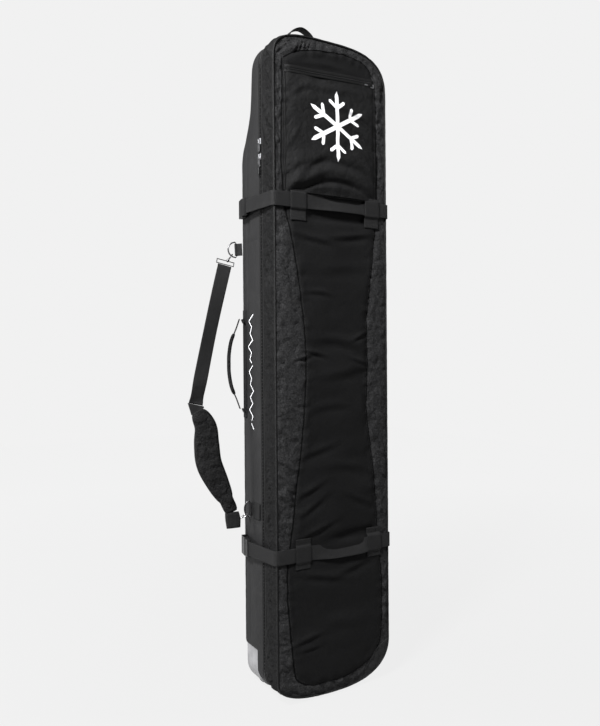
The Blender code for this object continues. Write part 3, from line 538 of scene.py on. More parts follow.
def fold(x, z, at, angle, length, width, height, bow=0.0):
    """One crease: a ridge with a hollow beside it, about a point in X, Z."""
    turn = math.radians(angle)
    u = (x - at[0]) * math.cos(turn) + (z - at[1]) * math.sin(turn)
    v = (z - at[1]) * math.cos(turn) - (x - at[0]) * math.sin(turn) + bow * u**2
    return height * np.exp(-((u / length) ** 2)) * (bell(v, 0, width) - 0.7 * bell(v, -1.7 * width, width))


FRONT_FOLDS = [
    # at, angle, length, width, height (mm), bow
    ((-0.060, 0.895), -14, 0.030, 0.0050, 1.6, 2), ((-0.096, 0.884), 12, 0.022, 0.0045, 1.5, 0),
    ((-0.050, 1.052), -4, 0.034, 0.0060, 1.2, 3), ((0.078, 0.940), 24, 0.026, 0.0050, 1.4, 0),
    ((0.080, 0.872), -18, 0.030, 0.0050, 1.3, 0), ((0.010, 0.930), -8, 0.070, 0.0120, 1.4, 2),
    ((0.020, 0.845), 10, 0.080, 0.0140, 1.2, -1), ((-0.020, 0.760), 5, 0.060, 0.0110, 0.9, 2),
    ((-0.055, 0.645), 14, 0.050, 0.0090, 1.1, 0), ((0.040, 0.600), -8, 0.070, 0.0120, 1.0, 1),
    ((-0.080, 0.545), 24, 0.040, 0.0080, 1.3, 0), ((-0.078, 0.500), 30, 0.045, 0.0080, 1.2, 0),
    ((0.080, 0.505), -24, 0.045, 0.0090, 1.2, 0), ((-0.060, 0.440), 18, 0.050, 0.0070, 1.4, 0),
    ((-0.086, 0.168), 10, 0.038, 0.0060, 1.5, 2), ((-0.084, 0.140), 5, 0.030, 0.0050, 1.1, 0),
    ((-0.040, 0.318), -12, 0.070, 0.0090, 1.6, 0), ((0.060, 0.330), 14, 0.060, 0.0090, 1.2, 0),
    ((0.030, 0.190), -6, 0.080, 0.0160, 0.9, 0), ((0.060, 1.205), 8, 0.070, 0.0080, 1.5, 0),
    ((-0.060, 1.190), -10, 0.055, 0.0080, 1.3, 0), ((0.020, 1.120), 4, 0.080, 0.0140, 0.9, 0),
    ((-0.020, 1.640), 3, 0.080, 0.0070, 0.8, 1), ((-0.110, 1.668), 62, 0.014, 0.0032, 1.6, 0),
    ((-0.098, 1.675), 66, 0.014, 0.0032, 1.5, 0), ((-0.085, 1.679), 68, 0.012, 0.0030, 1.3, 0),
    ((-0.073, 1.682), 70, 0.010, 0.0028, 1.1, 0), ((-0.158, 1.655), 40, 0.016, 0.0040, 1.2, 0),
]


def pillow(x, z):
    """How far the padded front stands out of the lid's frame, in metres."""
    edge, along = distance_to(x, z, closed_line(OUTLINE))
    seam, run = distance_to(x, z, closed_line(PANEL_EDGE))
    inner = inside_panel(x, z)
    crown = np.interp(z, CROWN[:, 0], CROWN[:, 1]) / 1000
    rounded = 1 - (1 - np.clip(edge / 0.040, 0, 1)) ** 2.6
    full = crown * (0.72 * rounded + 0.28 * (1 - (x / HALF_W) ** 2).clip(0) * rounded)
    near_strap = np.maximum(bell(z, UPPER_STRAP_Z, 0.040), bell(z, LOWER_STRAP_Z, 0.034))
    loose = (1 - 0.85 * near_strap) * step(edge, 0.002, 0.014)
    # Seams pull the padding in, with small puckers across them
    pucker = noise(run / 0.0110, 0 * run, 3) + 0.6 * noise(run / 0.0047, 0 * run, 4)
    full = full - (0.0042 + 0.0024 * pucker) * np.exp(-seam / 0.0060)
    full = full + 0.0042 * noise(run / 0.014, seam / 0.034, 5) * np.exp(-((seam - 0.010) / 0.011) ** 2) * loose
    # The bands are quilted loosely: creases run down and inwards between piping and seam
    band = step(-inner, 0.001, 0.006) * loose
    lively = 0.35 + 0.65 * np.maximum(bell(z, 0.50, 0.17), np.maximum(bell(z, 0.13, 0.11), bell(z, 1.50, 0.15)))
    slant = noise((z + 0.9 * x) / 0.021, (z - x) / 0.070, 6)
    slant = slant + 0.5 * noise((z + 0.7 * x) / 0.0095, (z - x) / 0.04, 7)
    full = full + band * (0.0070 * lively * slant - 0.0026 * (0.4 + lively) * np.exp(-((slant / 0.13) ** 2)))
    beside = np.exp(-((edge - 0.012) / 0.009) ** 2) * loose
    full = full + 0.0042 * beside * noise(along / 0.014, edge / 0.02, 8)
    centre = step(inner, 0.002, 0.020) * loose
    full = full + centre * 0.0070 * noise(x / 0.115 + 0.3 * z, z / 0.075, 9)
    full = full + centre * 0.0022 * noise(x / 0.050, z / 0.028, 10)
    folds = 2.6 * sum(fold(x, z, *f[:4], f[4] / 1000, f[5]) for f in FRONT_FOLDS)
    full = full + folds * loose
    mitre, _ = distance_to(x, z, MITRE_SEAM)
    full = full - 0.0022 * np.exp(-mitre / 0.0035)
    # Channels that the two straps lie in
    between = step(x, -0.090, -0.055) * (1 - step(x, 0.108, 0.128))
    upper_gap = bell(z, 1.246 - 0.10 * (x - 0.02) ** 2, 0.0115) * between
    lower_gap = bell(z, 0.408 + 0.05 * x, 0.0120) * step(x, -0.050, 0.045) * (1 - step(x, 0.115, 0.130))
    full = full - 0.0080 * upper_gap - 0.0080 * lower_gap
    return np.maximum(full, 0.0001)


def front_point(x, z, lift=0.0):
    x, z = np.broadcast_arrays(np.asarray(x, float), np.asarray(z, float))
    return np.stack([x, FRONT_Y - 0.0005 - pillow(x, z) - lift, z], -1)


def end_rows(first, spacing, reach):
    """Distances in from an end, close together at first."""
    rows, at, gap = [], first, first
    while at < reach:
        rows.append(at)
        gap = min(gap * 1.45, spacing)
        at += gap
    return np.array(rows)


def face_grid(cols, spacing, seams):
    """Grid over the bag's outline whose columns can follow two seams."""
    low, high = end_rows(0.0003, spacing, 0.80), end_rows(0.0003, spacing, 0.80)
    z = np.concatenate([LOW_Z + low, TOP_Z - high[::-1]])
    middle = np.linspace(z[len(low) - 1], z[len(low)], 2 + int((z[len(low)] - z[len(low) - 1]) / spacing))[1:-1]
    z = np.sort(np.concatenate([z, middle]))[:, None]
    s = np.linspace(-1, 1, cols)[None, :]
    left, right = -half_width(z, -1), half_width(z, 1)
    if not seams:
        return np.where(s < 0, -left, right) * s, z + 0 * s
    share_l, share_r = -0.62, 0.66
    at_l = np.interp(z, LEFT_SEAM[:, 1], LEFT_SEAM[:, 0]).clip(left * 0.82, None)
    at_r = np.interp(z, RIGHT_SEAM[:, 1], RIGHT_SEAM[:, 0]).clip(None, right * 0.86)
    x = np.where(s < share_l, left + (at_l - left) * (s + 1) / (share_l + 1),
                 np.where(s > share_r, at_r + (right - at_r) * (s - share_r) / (1 - share_r),
                          at_l + (at_r - at_l) * (s - share_l) / (share_r - share_l)))
    return x, z + 0 * s


def two_cloth_material():
    """The front's cloth: smooth inside the centre seam and coarse outside it, by an edge distance."""
    made, tree, shader = shader_of("front_cloth")
    cloth = node(tree, "ShaderNodeAttribute", attribute_name="cloth").outputs["Vector"]
    inner = node(tree, "ShaderNodeAttribute", attribute_name="inner").outputs["Fac"]
    inside = node(tree, "ShaderNodeMapRange", {"Value": inner, "From Min": -0.0006, "From Max": 0.0006}).outputs[0]
    axes = node(tree, "ShaderNodeSeparateXYZ", {"Vector": cloth})
    waves = []
    for pitch in (0.0022, 0.0011):
        u = maths(tree, "SINE", maths(tree, "MULTIPLY", axes.outputs["X"], 2 * math.pi / pitch))
        v = maths(tree, "SINE", maths(tree, "MULTIPLY", axes.outputs["Y"], 2 * math.pi / pitch))
        waves.append(maths(tree, "MULTIPLY", u, v))
    speckle, fine = noise_node(tree, 300.0, 4.0, 0.65), noise_node(tree, 420.0, 3.0, 0.6)
    coarse = two_tones(tree, speckle, grey(0.0062), grey(0.0240))
    smooth = two_tones(tree, fine, grey(0.0040), grey(0.0068))
    base = node(tree, "ShaderNodeMix", {"Factor": inside}, data_type="RGBA")
    tree.links.new(coarse, base.inputs[6])
    tree.links.new(smooth, base.inputs[7])
    tree.links.new(base.outputs[2], shader.inputs["Base Color"])
    rough = node(tree, "ShaderNodeMapRange", {"Value": inside, "To Min": 0.62, "To Max": 0.70}).outputs[0]
    tree.links.new(maths(tree, "MULTIPLY_ADD", fine, 0.16, maths(tree, "SUBTRACT", rough, 0.08)),
                   shader.inputs["Roughness"])
    outside = maths(tree, "SUBTRACT", 1.0, inside)
    grain = maths(tree, "ADD", maths(tree, "MULTIPLY", speckle, outside), maths(tree, "MULTIPLY", fine, 0.4))
    weave = maths(tree, "ADD", maths(tree, "MULTIPLY", waves[0], maths(tree, "MULTIPLY", outside, 0.6)),
                  maths(tree, "MULTIPLY", waves[1], 0.35))
    crumple = maths(tree, "MULTIPLY", creased(tree, 26.0), maths(tree, "MULTIPLY_ADD", outside, 0.85, 0.15))
    bumped(tree, shader, [(crumple, 0.45, 0.0042), (grain, 0.5, 0.0008), (weave, 0.6, 0.0004)])
    shader.inputs["Specular IOR Level"].default_value = 0.045
    return made


FABRIC["front"] = two_cloth_material()


def lid_front():
    """The lid's face, with each point's distance inside the centre panel's seam."""
    x, z = face_grid(111, 0.0042, True)
    obj = sheet_piece("lid_front_cover", front_point(x, z), "front", "lid",
                      replaces=("lid_shell", "lid_front_padding"), outward=(0, -1, 0))
    obj.data.attributes.new("inner", "FLOAT", "POINT").data.foreach_set(
        "value", inside_panel(x, z).ravel().astype(np.float32))


def back_panel():
    """The plain padded back, cut away at its lower corners for the wheel housings."""
    x, z = face_grid(61, 0.0075, False)
    edge, along = distance_to(x, z, closed_line(OUTLINE))
    lift = 0.0030 * (1 - (1 - np.clip(edge / 0.03, 0, 1)) ** 2.4)
    waves = 0.0016 * noise(x / 0.10, z / 0.06, 21) + 0.0005 * noise(x / 0.03, z / 0.02, 22)
    lift = lift + step(edge, 0.004, 0.02) * waves
    lift = lift + 0.0010 * noise(along / 0.016, edge / 0.02, 23) * np.exp(-((edge - 0.012) / 0.010) ** 2)
    lift = lift * step(z, 0.10, 0.16) + 0.0005
    points = np.stack([x, BACK_Y + lift, z], -1)
    limit, floor = HOUSING_INNER - 0.0012, HOUSING_TOP + 0.0012
    rows = np.argmin(np.abs(z[:, 0] - floor))
    upper = points[rows:]
    upper[0, :, 2] = floor
    upper[0, :, 0] = np.linspace(-half_width(floor, -1), half_width(floor, 1), x.shape[1])
    s = np.linspace(-1, 1, 45)
    bottom = end_z(limit * s) + 0.0006
    share = np.linspace(0, 1, 22)[:, None]
    level = BACK_Y + 0.0005 + 0 * share * s
    lower = np.stack([limit * s + 0 * share, level, bottom + (floor - bottom) * share], -1)
    lower[-1, :, 1] = np.interp(lower[-1, :, 0], upper[0, :, 0], upper[0, :, 1])
    sheet_piece("back_cover", round_back(upper), "side", "tub", replaces=("tub_back_padding",), outward=(0, 1, 0))
    sheet_piece("back_cover_foot", lower, "side", "tub", outward=(0, 1, 0))


def end_z(x):
    """Height of the underside at this X."""
    out = np.zeros_like(np.asarray(x, float))
    for side in (-1, 1):
        height, power = CORNERS[side, -1]
        here = LOW_Z + height * (1 - (1 - np.abs(x / HALF_W).clip(0, 1) ** power) ** (1 / power))
        out = np.where(np.sign(x) == side, here, out)
    return np.where(out == 0, LOW_Z, out)


# ---- Gussets: the walls of the lid and the tub ----
def wall_loop(spacing):
    """The outline with a point exactly at each corner of the wheel housings."""
    dense = outline_points(6000)
    marks = []
    for side in (1, -1):
        on_side = (np.sign(dense[:, 0]) == side)
        high = np.where(on_side & (np.abs(dense[:, 0]) > 0.14), np.abs(dense[:, 1] - HOUSING_TOP - 0.0012), 9)
        under = np.where(on_side & (dense[:, 1] < 0.06), np.abs(np.abs(dense[:, 0]) - HOUSING_INNER + 0.0012), 9)
        marks += [int(np.argmin(high)), int(np.argmin(under))]
    marks = sorted(marks)
    parts = []
    for a, b in zip(marks, marks[1:] + [marks[0] + len(dense)]):
        run = dense[np.arange(a, b + 1) % len(dense)]
        parts.append(resample(run, max(3, int(length_of(run) / spacing)))[:-1])
    return np.vstack(parts)


LOOP = wall_loop(0.0040)
LOOP_OUT = outline_normals(LOOP)
LOOP_RUN = distances(LOOP)


def at_depth(flat, y):
    """Points of the X, Z plane set at a depth, or at one depth each."""
    return np.stack([flat[:, 0], np.full(len(flat), y), flat[:, 1]], 1)


def wall_points(depths, lift):
    """Rows of points round the bag at these depths, pushed out by lift(x, z, run, y)."""
    rows = []
    for y in depths:
        out = lift(LOOP[:, 0], LOOP[:, 1], LOOP_RUN, y)
        rows.append(at_depth(LOOP + LOOP_OUT * np.asarray(out)[:, None], y))
    return np.array(rows)


def at_straps(x, z, reach=0.030):
    side = step(np.abs(x), 0.165, 0.172)
    return side * np.maximum(bell(z, UPPER_STRAP_Z, reach), bell(z, LOWER_STRAP_Z, reach))


def top_facing(x, z):
    """1 where the outline faces up at the bag's top, 0 on its long sides."""
    across, above = LOOP[None, :, 0] - np.ravel(x)[:, None], LOOP[None, :, 1] - np.ravel(z)[:, None]
    near = np.argmin(across**2 + above**2, 1)
    return LOOP_OUT[near, 1].clip(0, 1).reshape(np.shape(x))


def lid_lift(x, z, run, y):
    """How far the lid's wall puffs out: creased across, held in at the straps, domed on top."""
    t = np.clip((y - (FRONT_Y + 0.0005)) / (LID_EDGE - FRONT_Y - 0.0005), 0, 1)
    puff = 0.0030 * np.sin(math.pi * t) ** 0.7
    crease = noise((run + 1.4 * y) / 0.020, y / 0.045, 31)
    crease = crease + 0.6 * noise((run - 0.9 * y) / 0.0090, y / 0.02, 32)
    soft = noise(run / 0.075, y / 0.05, 33)
    free = np.sin(math.pi * t)
    lively = 0.5 + 0.5 * np.maximum(bell(z, 1.52, 0.16), np.maximum(bell(z, 0.50, 0.22), bell(z, 0.12, 0.10)))
    sharp = np.exp(-((crease / 0.14) ** 2))
    out = puff + free * (0.0075 * lively * crease - 0.0034 * (0.4 + lively) * sharp + 0.0040 * soft)
    dome = 0.0075 * top_facing(x, z) ** 1.5 * np.sin(math.pi * t) ** 0.8
    return out * (1 - 0.75 * at_straps(x, z)) + dome - 0.0002


SIDE_SEAM_Y = 0.058
SIDE_SEAM_Z, LOW_SIDE_SEAM_Z = 1.188, 0.446


def tub_lift(x, z, run, y):
    """How far the tub's wall puffs out between its sewn seams."""
    t = np.clip((y - TUB_EDGE) / (BACK_Y - TUB_EDGE), 0, 1)
    out = 0.0034 * np.sin(math.pi * t) ** 0.6
    waves = 0.0036 * noise(run / 0.11, y / 0.06, 41) + 0.0012 * noise(run / 0.040, y / 0.03, 42)
    out = out + np.sin(math.pi * t) * waves
    out = out - 0.0016 * np.exp(-abs(y - SIDE_SEAM_Y) / 0.0035)
    for height, depth in ((SIDE_SEAM_Z, 0.0016), (LOW_SIDE_SEAM_Z, 0.0012)):
        seam = np.abs(z - height) + 9 * (np.abs(x) < 0.16)
        out = out - depth * np.exp(-seam / 0.0035)
    beside = bell(y, TUB_EDGE + 0.008, 0.007) + bell(y, BACK_Y - 0.008, 0.007)
    out = out + 0.0010 * noise(run / 0.013, y / 0.02, 43) * beside
    out = out * (1 - 0.8 * at_straps(x, z, 0.026))
    low = step(z, HOUSING_TOP, HOUSING_TOP + 0.05) + (np.abs(x) < HOUSING_INNER)
    dome = 0.0035 * top_facing(x, z) ** 1.5 * np.sin(math.pi * t) ** 0.6
    return out * np.clip(low, 0, 1) + dome - 0.0002


def round_back(points):
    """Draw the tub's upper back in towards its middle, most of all at the corner beside the zip."""
    flat = np.asarray(points, float).reshape(-1, 3).copy()
    x, y, z = flat.T.copy()
    deep = np.clip((y + 0.005) / 0.0915, 0, 0.995)
    inset = 0.066 * (1 - np.sqrt(1 - deep**2))
    share = x / HALF_W
    flat[:, 0] += inset * step(z, 1.40, 1.64) * ((-share).clip(0) ** 1.5 - 0.35 * share.clip(0) ** 1.5)
    rise = ((z - 1.45) / (TOP_Z - 1.45)).clip(0) ** 2
    flat[:, 2] -= inset * rise * (0.45 + 0.55 * step(-x, -0.05, 0.10))
    return flat.reshape(np.shape(points))


def depth_rows(knots, spacing):
    rows = []
    for a, b in zip(knots, knots[1:]):
        rows.append(np.linspace(a, b, max(2, int((b - a) / spacing + 0.5)), endpoint=False))
    return np.concatenate([*rows, [knots[-1]]])


def gussets():
    lid_rows = depth_rows([FRONT_Y - 0.0004, FRONT_Y + 0.004, LID_EDGE], 0.0036)
    sheet_piece("lid_gusset_cover", wall_points(lid_rows, lid_lift), "gusset", "lid", wrap_cols=True,
                replaces=("lid_side_padding",), outward="away")
    tub_rows = depth_rows([TUB_EDGE, HOUSING_FRONT - 0.0012, SIDE_SEAM_Y, BACK_Y + 0.0006], 0.0040)

    def housing(flat):
        return ((np.abs(flat[:, 0]) > HOUSING_INNER - 0.0010) & (flat[:, 1] > HOUSING_FRONT - 0.0010)
                & (flat[:, 2] < HOUSING_TOP + 0.0010))

    sheet_piece("tub_gusset_cover", round_back(wall_points(tub_rows, tub_lift)), "side", "tub", wrap_cols=True,
                drop=housing, replaces=("tub_shell", "tub_side_padding"), outward="away")


# ---- Zip, hinge strip and piping ----
def loop_share(keep_right):
    """The stretch of the outline loop with the zip, or the hinge side."""
    hinge = (LOOP[:, 0] > 0.17) & (LOOP[:, 1] > 0.125) & (LOOP[:, 1] < 1.535)
    ids = np.where(hinge == keep_right)[0]
    start = np.where(np.diff(ids) > 1)[0]
    return np.roll(ids, -(start[0] + 1)) if len(start) else ids


def zip_halves():
    """Tape and separate teeth of each half of the main zip; no teeth run close to the hinge."""
    ids = loop_share(False)
    flat, out = LOOP[ids], LOOP_OUT[ids]
    for half, edge, inner in (("lid", LID_EDGE, ZIP_Y - 0.0006), ("tub", TUB_EDGE, ZIP_Y + 0.0006)):
        rows = []
        for y, height in zip(np.linspace(edge, inner, 4), (0.0004, 0.0010, 0.0008, -0.0006)):
            rows.append(at_depth(flat + out * height, y))
        sheet_piece(f"zip_tape_{half}", np.array(rows), "tape", half, replaces=(f"main_zip_{half}_half",),
                    thick=0.0008, outward="away")
    path = resample(flat, 4000)
    count = int(length_of(path) / 0.0026)
    spots = resample(np.hstack([path, outline_normals(path)]), count)
    corners = ((-1, 0, 0), (1, 0, 0), (1, 1, 0), (-1, 1, 0), (-0.6, 0.1, 1), (0.6, 0.1, 1), (0.6, 0.8, 1),
               (-0.6, 0.8, 1))
    for half, side, first in (("lid", -1, 2), ("tub", 1, 3)):
        blocks = []
        for i in range(first, count - 2, 2):
            at, out_ = spots[i, :2], spots[i, 2:]
            if at[0] > 0.160:
                continue
            go = unit(spots[i + 1, :2] - spots[i - 1, :2])
            for a, b, c in corners:
                spot = at + go * a * 0.0010 + out_ * (0.0004 + 0.0013 * c)
                blocks.append((spot[0], ZIP_Y + side * (-0.0012 + 0.0036 * b), spot[1]))
        blocks_piece(f"zip_teeth_{half}", np.array(blocks).reshape(-1, 8, 3), half)


def hinge_strip():
    """Fabric that joins the lid to the tub along the side without a zip."""
    ids = loop_share(True)
    flat, out = LOOP[ids], LOOP_OUT[ids]
    rows = []
    for y in np.linspace(LID_EDGE - 0.0008, TUB_EDGE + 0.0008, 9):
        t = (y - LID_EDGE) / (TUB_EDGE - LID_EDGE)
        rows.append(at_depth(flat + out * (0.0003 + 0.0012 * np.sin(math.pi * np.clip(t, 0, 1))), y))
    sheet_piece("hinge_strip", np.array(rows), "side", ("tub", "lid", (HALF_W, TUB_EDGE, 0.85),
                                                        (HALF_W, LID_EDGE, 0.85)), outward=(1, 0, 0))


def wobble(path, size, seed):
    """Slight changes of thickness along a path."""
    run = distances(path)
    return 1 + size * noise(run / 0.011, 0 * run, seed) + 0.5 * size * noise(run / 0.004, 0 * run, seed + 1)


def pipings():
    inset = LOOP - LOOP_OUT * 0.0020
    front = resample(at_depth(inset, FRONT_Y - 0.0022), 1300, closed=True)
    swept("front_piping_cover", front, round_section(0.0026), "piping", "lid", up=(0, -1, 0), closed=True,
          scale=wobble(front, 0.16, 51), replaces=("front_piping",))
    top = [i for i in range(len(LOOP)) if LOOP[i, 1] > HOUSING_TOP + 0.002]
    gap = int(np.argmax(np.diff(top)))
    top = top[gap + 1:] + top[:gap + 1]
    back = resample(round_back(at_depth(inset[top], BACK_Y + 0.0022)), 900)
    swept("back_piping_cover", back, round_section(0.0026), "piping", "tub", up=(0, 1, 0),
          scale=wobble(back, 0.14, 53), replaces=("back_piping",))
    # Binding where each gusset's edge meets the zip
    for name, body, y, shift in (("lid_binding", "lid", LID_EDGE, -1), ("tub_binding", "tub", TUB_EDGE, 1)):
        path = resample(at_depth(LOOP + LOOP_OUT * 0.0002, y + shift * 0.0006), 1100, closed=True)
        section = flat_section(0.0040, 0.0014, 5)[:, ::-1]
        swept(name, path, section, "piping", body, up=(0, -1, 0), closed=True, scale=wobble(path, 0.08, 55))


def front_cords():
    """Thin corded seams on the lid's face."""
    for name, line, size in (("seam_left", LEFT_SEAM, 0.0016), ("seam_right", RIGHT_SEAM, 0.0012),
                             ("seam_arch", ARCH_SEAM[2:], 0.0018), ("seam_low", LOW_SEAM, 0.0014)):
        line = resample(line, int(length_of(line) / 0.0032))
        path = front_point(line[:, 0], line[:, 1], 0.0002)
        swept(name, path, round_section(size, 8), "seam", "lid", up=(0, -1, 0), scale=wobble(path, 0.12, 57))


def seam_stitches():
    """Topstitching beside the seams of the face."""
    lines, outs = [], []
    for seam, side in ((LEFT_SEAM, -1), (LEFT_SEAM, 1), (RIGHT_SEAM, -1), (RIGHT_SEAM, 1), (ARCH_SEAM[4:], 1)):
        line = resample(seam, int(length_of(seam) / 0.006))
        ahead = unit(np.gradient(line, axis=0))
        line = line + side * 0.0042 * np.stack([-ahead[:, 1], ahead[:, 0]], 1)
        lines.append(front_point(line[:, 0], line[:, 1], 0.0001))
        outs.append(np.array([0, -1.0, 0]))
    stitches("face_stitches", lines, "lid", outs, width=0.0006)


# ---- Pocket ----
POCKET = (-0.142, 0.1335, 1.3010, 1.6030)  # left, right, foot, zip


def pocket_lift(x, z):
    """How far the pocket's cloth stands off the lid: it sags into an arch above the strap."""
    left, right, foot, head = POCKET
    u, v = (x - left) / (right - left), (z - foot) / (head - foot)
    held = np.clip(4 * u * (1 - u), 0, 1) ** 0.55
    sag = 0.0030 + 0.0068 * np.exp(-(((v - 0.16) / 0.20) ** 2)) + 0.0024 * np.exp(-(((v - 0.50) / 0.30) ** 2))
    lift = sag * held * step(1 - v, 0.0, 0.10) ** 0.6
    arch = 0.020 + 0.150 * (1 - (2 * u - 1.08) ** 2).clip(0)
    ridge = v - arch
    lift = lift + 0.0066 * held * bell(ridge, 0.035, 0.045) - 0.0080 * held * bell(ridge, -0.050, 0.030)
    lift = lift - 0.0036 * held * bell(ridge, 0.120, 0.035) + 0.0030 * held * bell(ridge, 0.190, 0.045)
    creases = (((0.092, 1.520), -24, 0.055, 0.0080, 2.6, 3), ((0.098, 1.470), -34, 0.050, 0.0080, 2.2, 2),
               ((0.075, 1.420), -44, 0.060, 0.0090, 2.2, 2), ((-0.110, 1.560), 34, 0.030, 0.0070, 1.2, 0),
               ((-0.085, 1.370), 42, 0.060, 0.0090, 2.0, 2), ((-0.055, 1.350), 30, 0.055, 0.0080, 1.6, 0),
               ((0.030, 1.395), -4, 0.070, 0.0110, 1.8, 3), ((-0.120, 1.440), 60, 0.030, 0.0060, 1.0, 0),
               ((0.112, 1.380), -58, 0.040, 0.0070, 1.8, 0), ((0.010, 1.580), 2, 0.080, 0.0090, 0.8, 0))
    for at, angle, length, width, height, bow in creases:
        lift = lift + held * fold(x, z, at, angle, length, width, 2.1 * height / 1000, bow)
    lift = lift + held * (0.0040 * noise(x / 0.070, z / 0.050, 61) + 0.0013 * noise(x / 0.028, z / 0.020, 62))
    return np.maximum(lift, 0.0) + 0.0006


def pocket_point(x, z, lift=0.0):
    """A point on the pocket's cloth; under it the lid's own creases don't show."""
    x, z = np.broadcast_arrays(np.asarray(x, float), np.asarray(z, float))
    left, right, foot, head = POCKET
    edge = np.minimum(np.minimum(x - left, right - x), np.minimum(z - foot, head - z))
    level = 0.0088 + 0.0006 * (1 - (x / 0.14) ** 2)
    base = pillow(x, z) * (1 - step(edge, 0, 0.03)) + level * step(edge, 0, 0.03)
    total = base + pocket_lift(x, z)
    eased = np.where(total > 0.019, 0.019 + 0.5 * (total - 0.019), total).clip(None, 0.0245)
    return np.stack([x, FRONT_Y - 0.0005 - eased - lift, z], -1)


def pocket():
    """The pocket's cloth, its binding and the zip along its head."""
    left, right, foot, head = POCKET
    x, z = np.meshgrid(np.linspace(left, right, 96), np.linspace(foot, head, 104))
    z = z + 0.014 * (x - left) / (right - left) * (z - foot) / (head - foot)
    sheet_piece("pocket_cover", pocket_point(x, z), "panel", "lid", replaces=("pocket_panel",), outward=(0, -1, 0))
    # Binding round the pocket's sewn edges
    edges = {"left": [(left, foot), (left, head)], "right": [(right, foot), (right, head + 0.013)],
             "foot": [(left, foot), (right, foot)]}
    for name, line in edges.items():
        line = resample(np.array(line), 90)
        swept(f"pocket_binding_{name}", front_point(line[:, 0], line[:, 1], 0.0012),
              flat_section(0.0060, 0.0012, 5), "piping", "lid", up=(0, -1, 0))
    # Zip along the head of the pocket
    zip_line = np.stack([np.linspace(left - 0.001, 0.1305, 130),
                         np.linspace(head + 0.0035, head + 0.0175, 130)], 1)
    path = front_point(zip_line[:, 0], zip_line[:, 1], 0.0016)
    swept("pocket_zip_tape", path, flat_section(0.0150, 0.0010, 5), "tape", "lid", up=(0, -1, 0),
          replaces=("pocket_zip",))
    for name, above, width in (("flap", 0.0060, 0.0068), ("lip", -0.0062, 0.0060)):
        swept(f"pocket_zip_{name}", path + np.array([0, -0.0009, above]), flat_section(width, 0.0012, 5), "piping",
              "lid", up=(0, -1, 0))
    corners = np.array([(-1, -1, 0), (1, -1, 0), (1, 1, 0), (-1, 1, 0), (-0.7, -0.8, 1), (0.7, -0.8, 1),
                        (0.7, 0.8, 1), (-0.7, 0.8, 1)])
    blocks = []
    for i, spot in enumerate(resample(path, int(0.2725 / 0.0022))[1:-1]):
        offset = 0.0005 if i % 2 else -0.0005
        for a, b, c in corners:
            blocks.append(spot + np.array([a * 0.0008, -0.0006 - 0.0009 * c, offset + b * 0.0016]))
    blocks_piece("pocket_zip_teeth", np.array(blocks).reshape(-1, 8, 3), "lid")


def emblem():
    """A plain six-armed snow crystal printed on the pocket's cloth."""
    centre, radius = np.array([0.008, 1.482]), 0.092
    half = 0.058 * radius
    verts, faces = [], []

    def bar(start, end, width, taper):
        steps_ = 26
        base = len(verts)
        go = unit(end - start)
        across = np.array([-go[1], go[0]])
        for i in range(steps_ + 1):
            share = i / steps_
            wide = width * (1 if share < 0.86 else 1 - taper * (share - 0.86) / 0.14)
            verts.extend(start + (end - start) * share + across * wide * k for k in (-1, -0.5, 0, 0.5, 1))
        for i in range(steps_):
            for k in range(4):
                a = base + i * 5 + k
                faces.append((a, a + 1, a + 6, a + 5))

    for turn in range(6):
        angle = math.radians(60 * turn + 90)
        arm = np.array([math.cos(angle), math.sin(angle)])
        bar(centre + arm * radius * 0.10, centre + arm * radius, half, 0.95)
        for side in (-1, 1):
            lean = angle + side * math.radians(52)
            twig = np.array([math.cos(lean), math.sin(lean)])
            root = centre + arm * radius * 0.52
            bar(root + twig * half * 0.9, root + twig * radius * 0.34, half * 0.82, 0.95)
    base = len(verts)
    sixths = np.radians(range(0, 360, 60))
    verts += [centre + 0.118 * radius * np.array([math.cos(t), math.sin(t)]) for t in sixths]
    faces.append(tuple(range(base, base + 6)))
    flat = np.array(verts)
    spots = pocket_point(flat[:, 0], flat[:, 1], 0.0005)
    piece("emblem_print", spots, faces, "print", "lid", flat, replaces=("front_emblem",), outward=(0, -1, 0))


# ---- Webbing: compression straps, keepers and socket tails ----
def buckle_point(z, along, up=0.0, out=0.0):
    """A point in a buckle's own frame: into the socket, up, and through its thickness."""
    mouth = np.array([-0.1892, 0.052, z])
    x_axis, z_axis = np.array([0.219652, 0.975578, 0]), np.array([0.975578, -0.219652, 0])
    return mouth + x_axis * along + np.array([0, 0, up]) + z_axis * out


def rounded_path(corners, radius, spacing=0.004):
    """An open path with its inner corners turned into arcs, evenly spaced."""
    corners = [np.asarray(c, float) for c in corners]
    points = [corners[0]]
    for before, corner, after in zip(corners, corners[1:], corners[2:]):
        back, ahead = before - corner, after - corner
        reach = min(radius * 1.6, np.linalg.norm(back) / 2, np.linalg.norm(ahead) / 2)
        start, end = corner + unit(back) * reach, corner + unit(ahead) * reach
        for t in np.linspace(0, 1, 9):
            points.append((1 - t) ** 2 * start + 2 * t * (1 - t) * corner + t**2 * end)
    points.append(corners[-1])
    points = np.array(points)
    return resample(points, max(8, int(length_of(points) / spacing)))


def edge_lines(path, up, inset, lift):
    """Two lines along a strap, near its edges."""
    side, out = frames_along(path, up)
    return [path + side * inset + out * lift, path - side * inset + out * lift], [out, out]


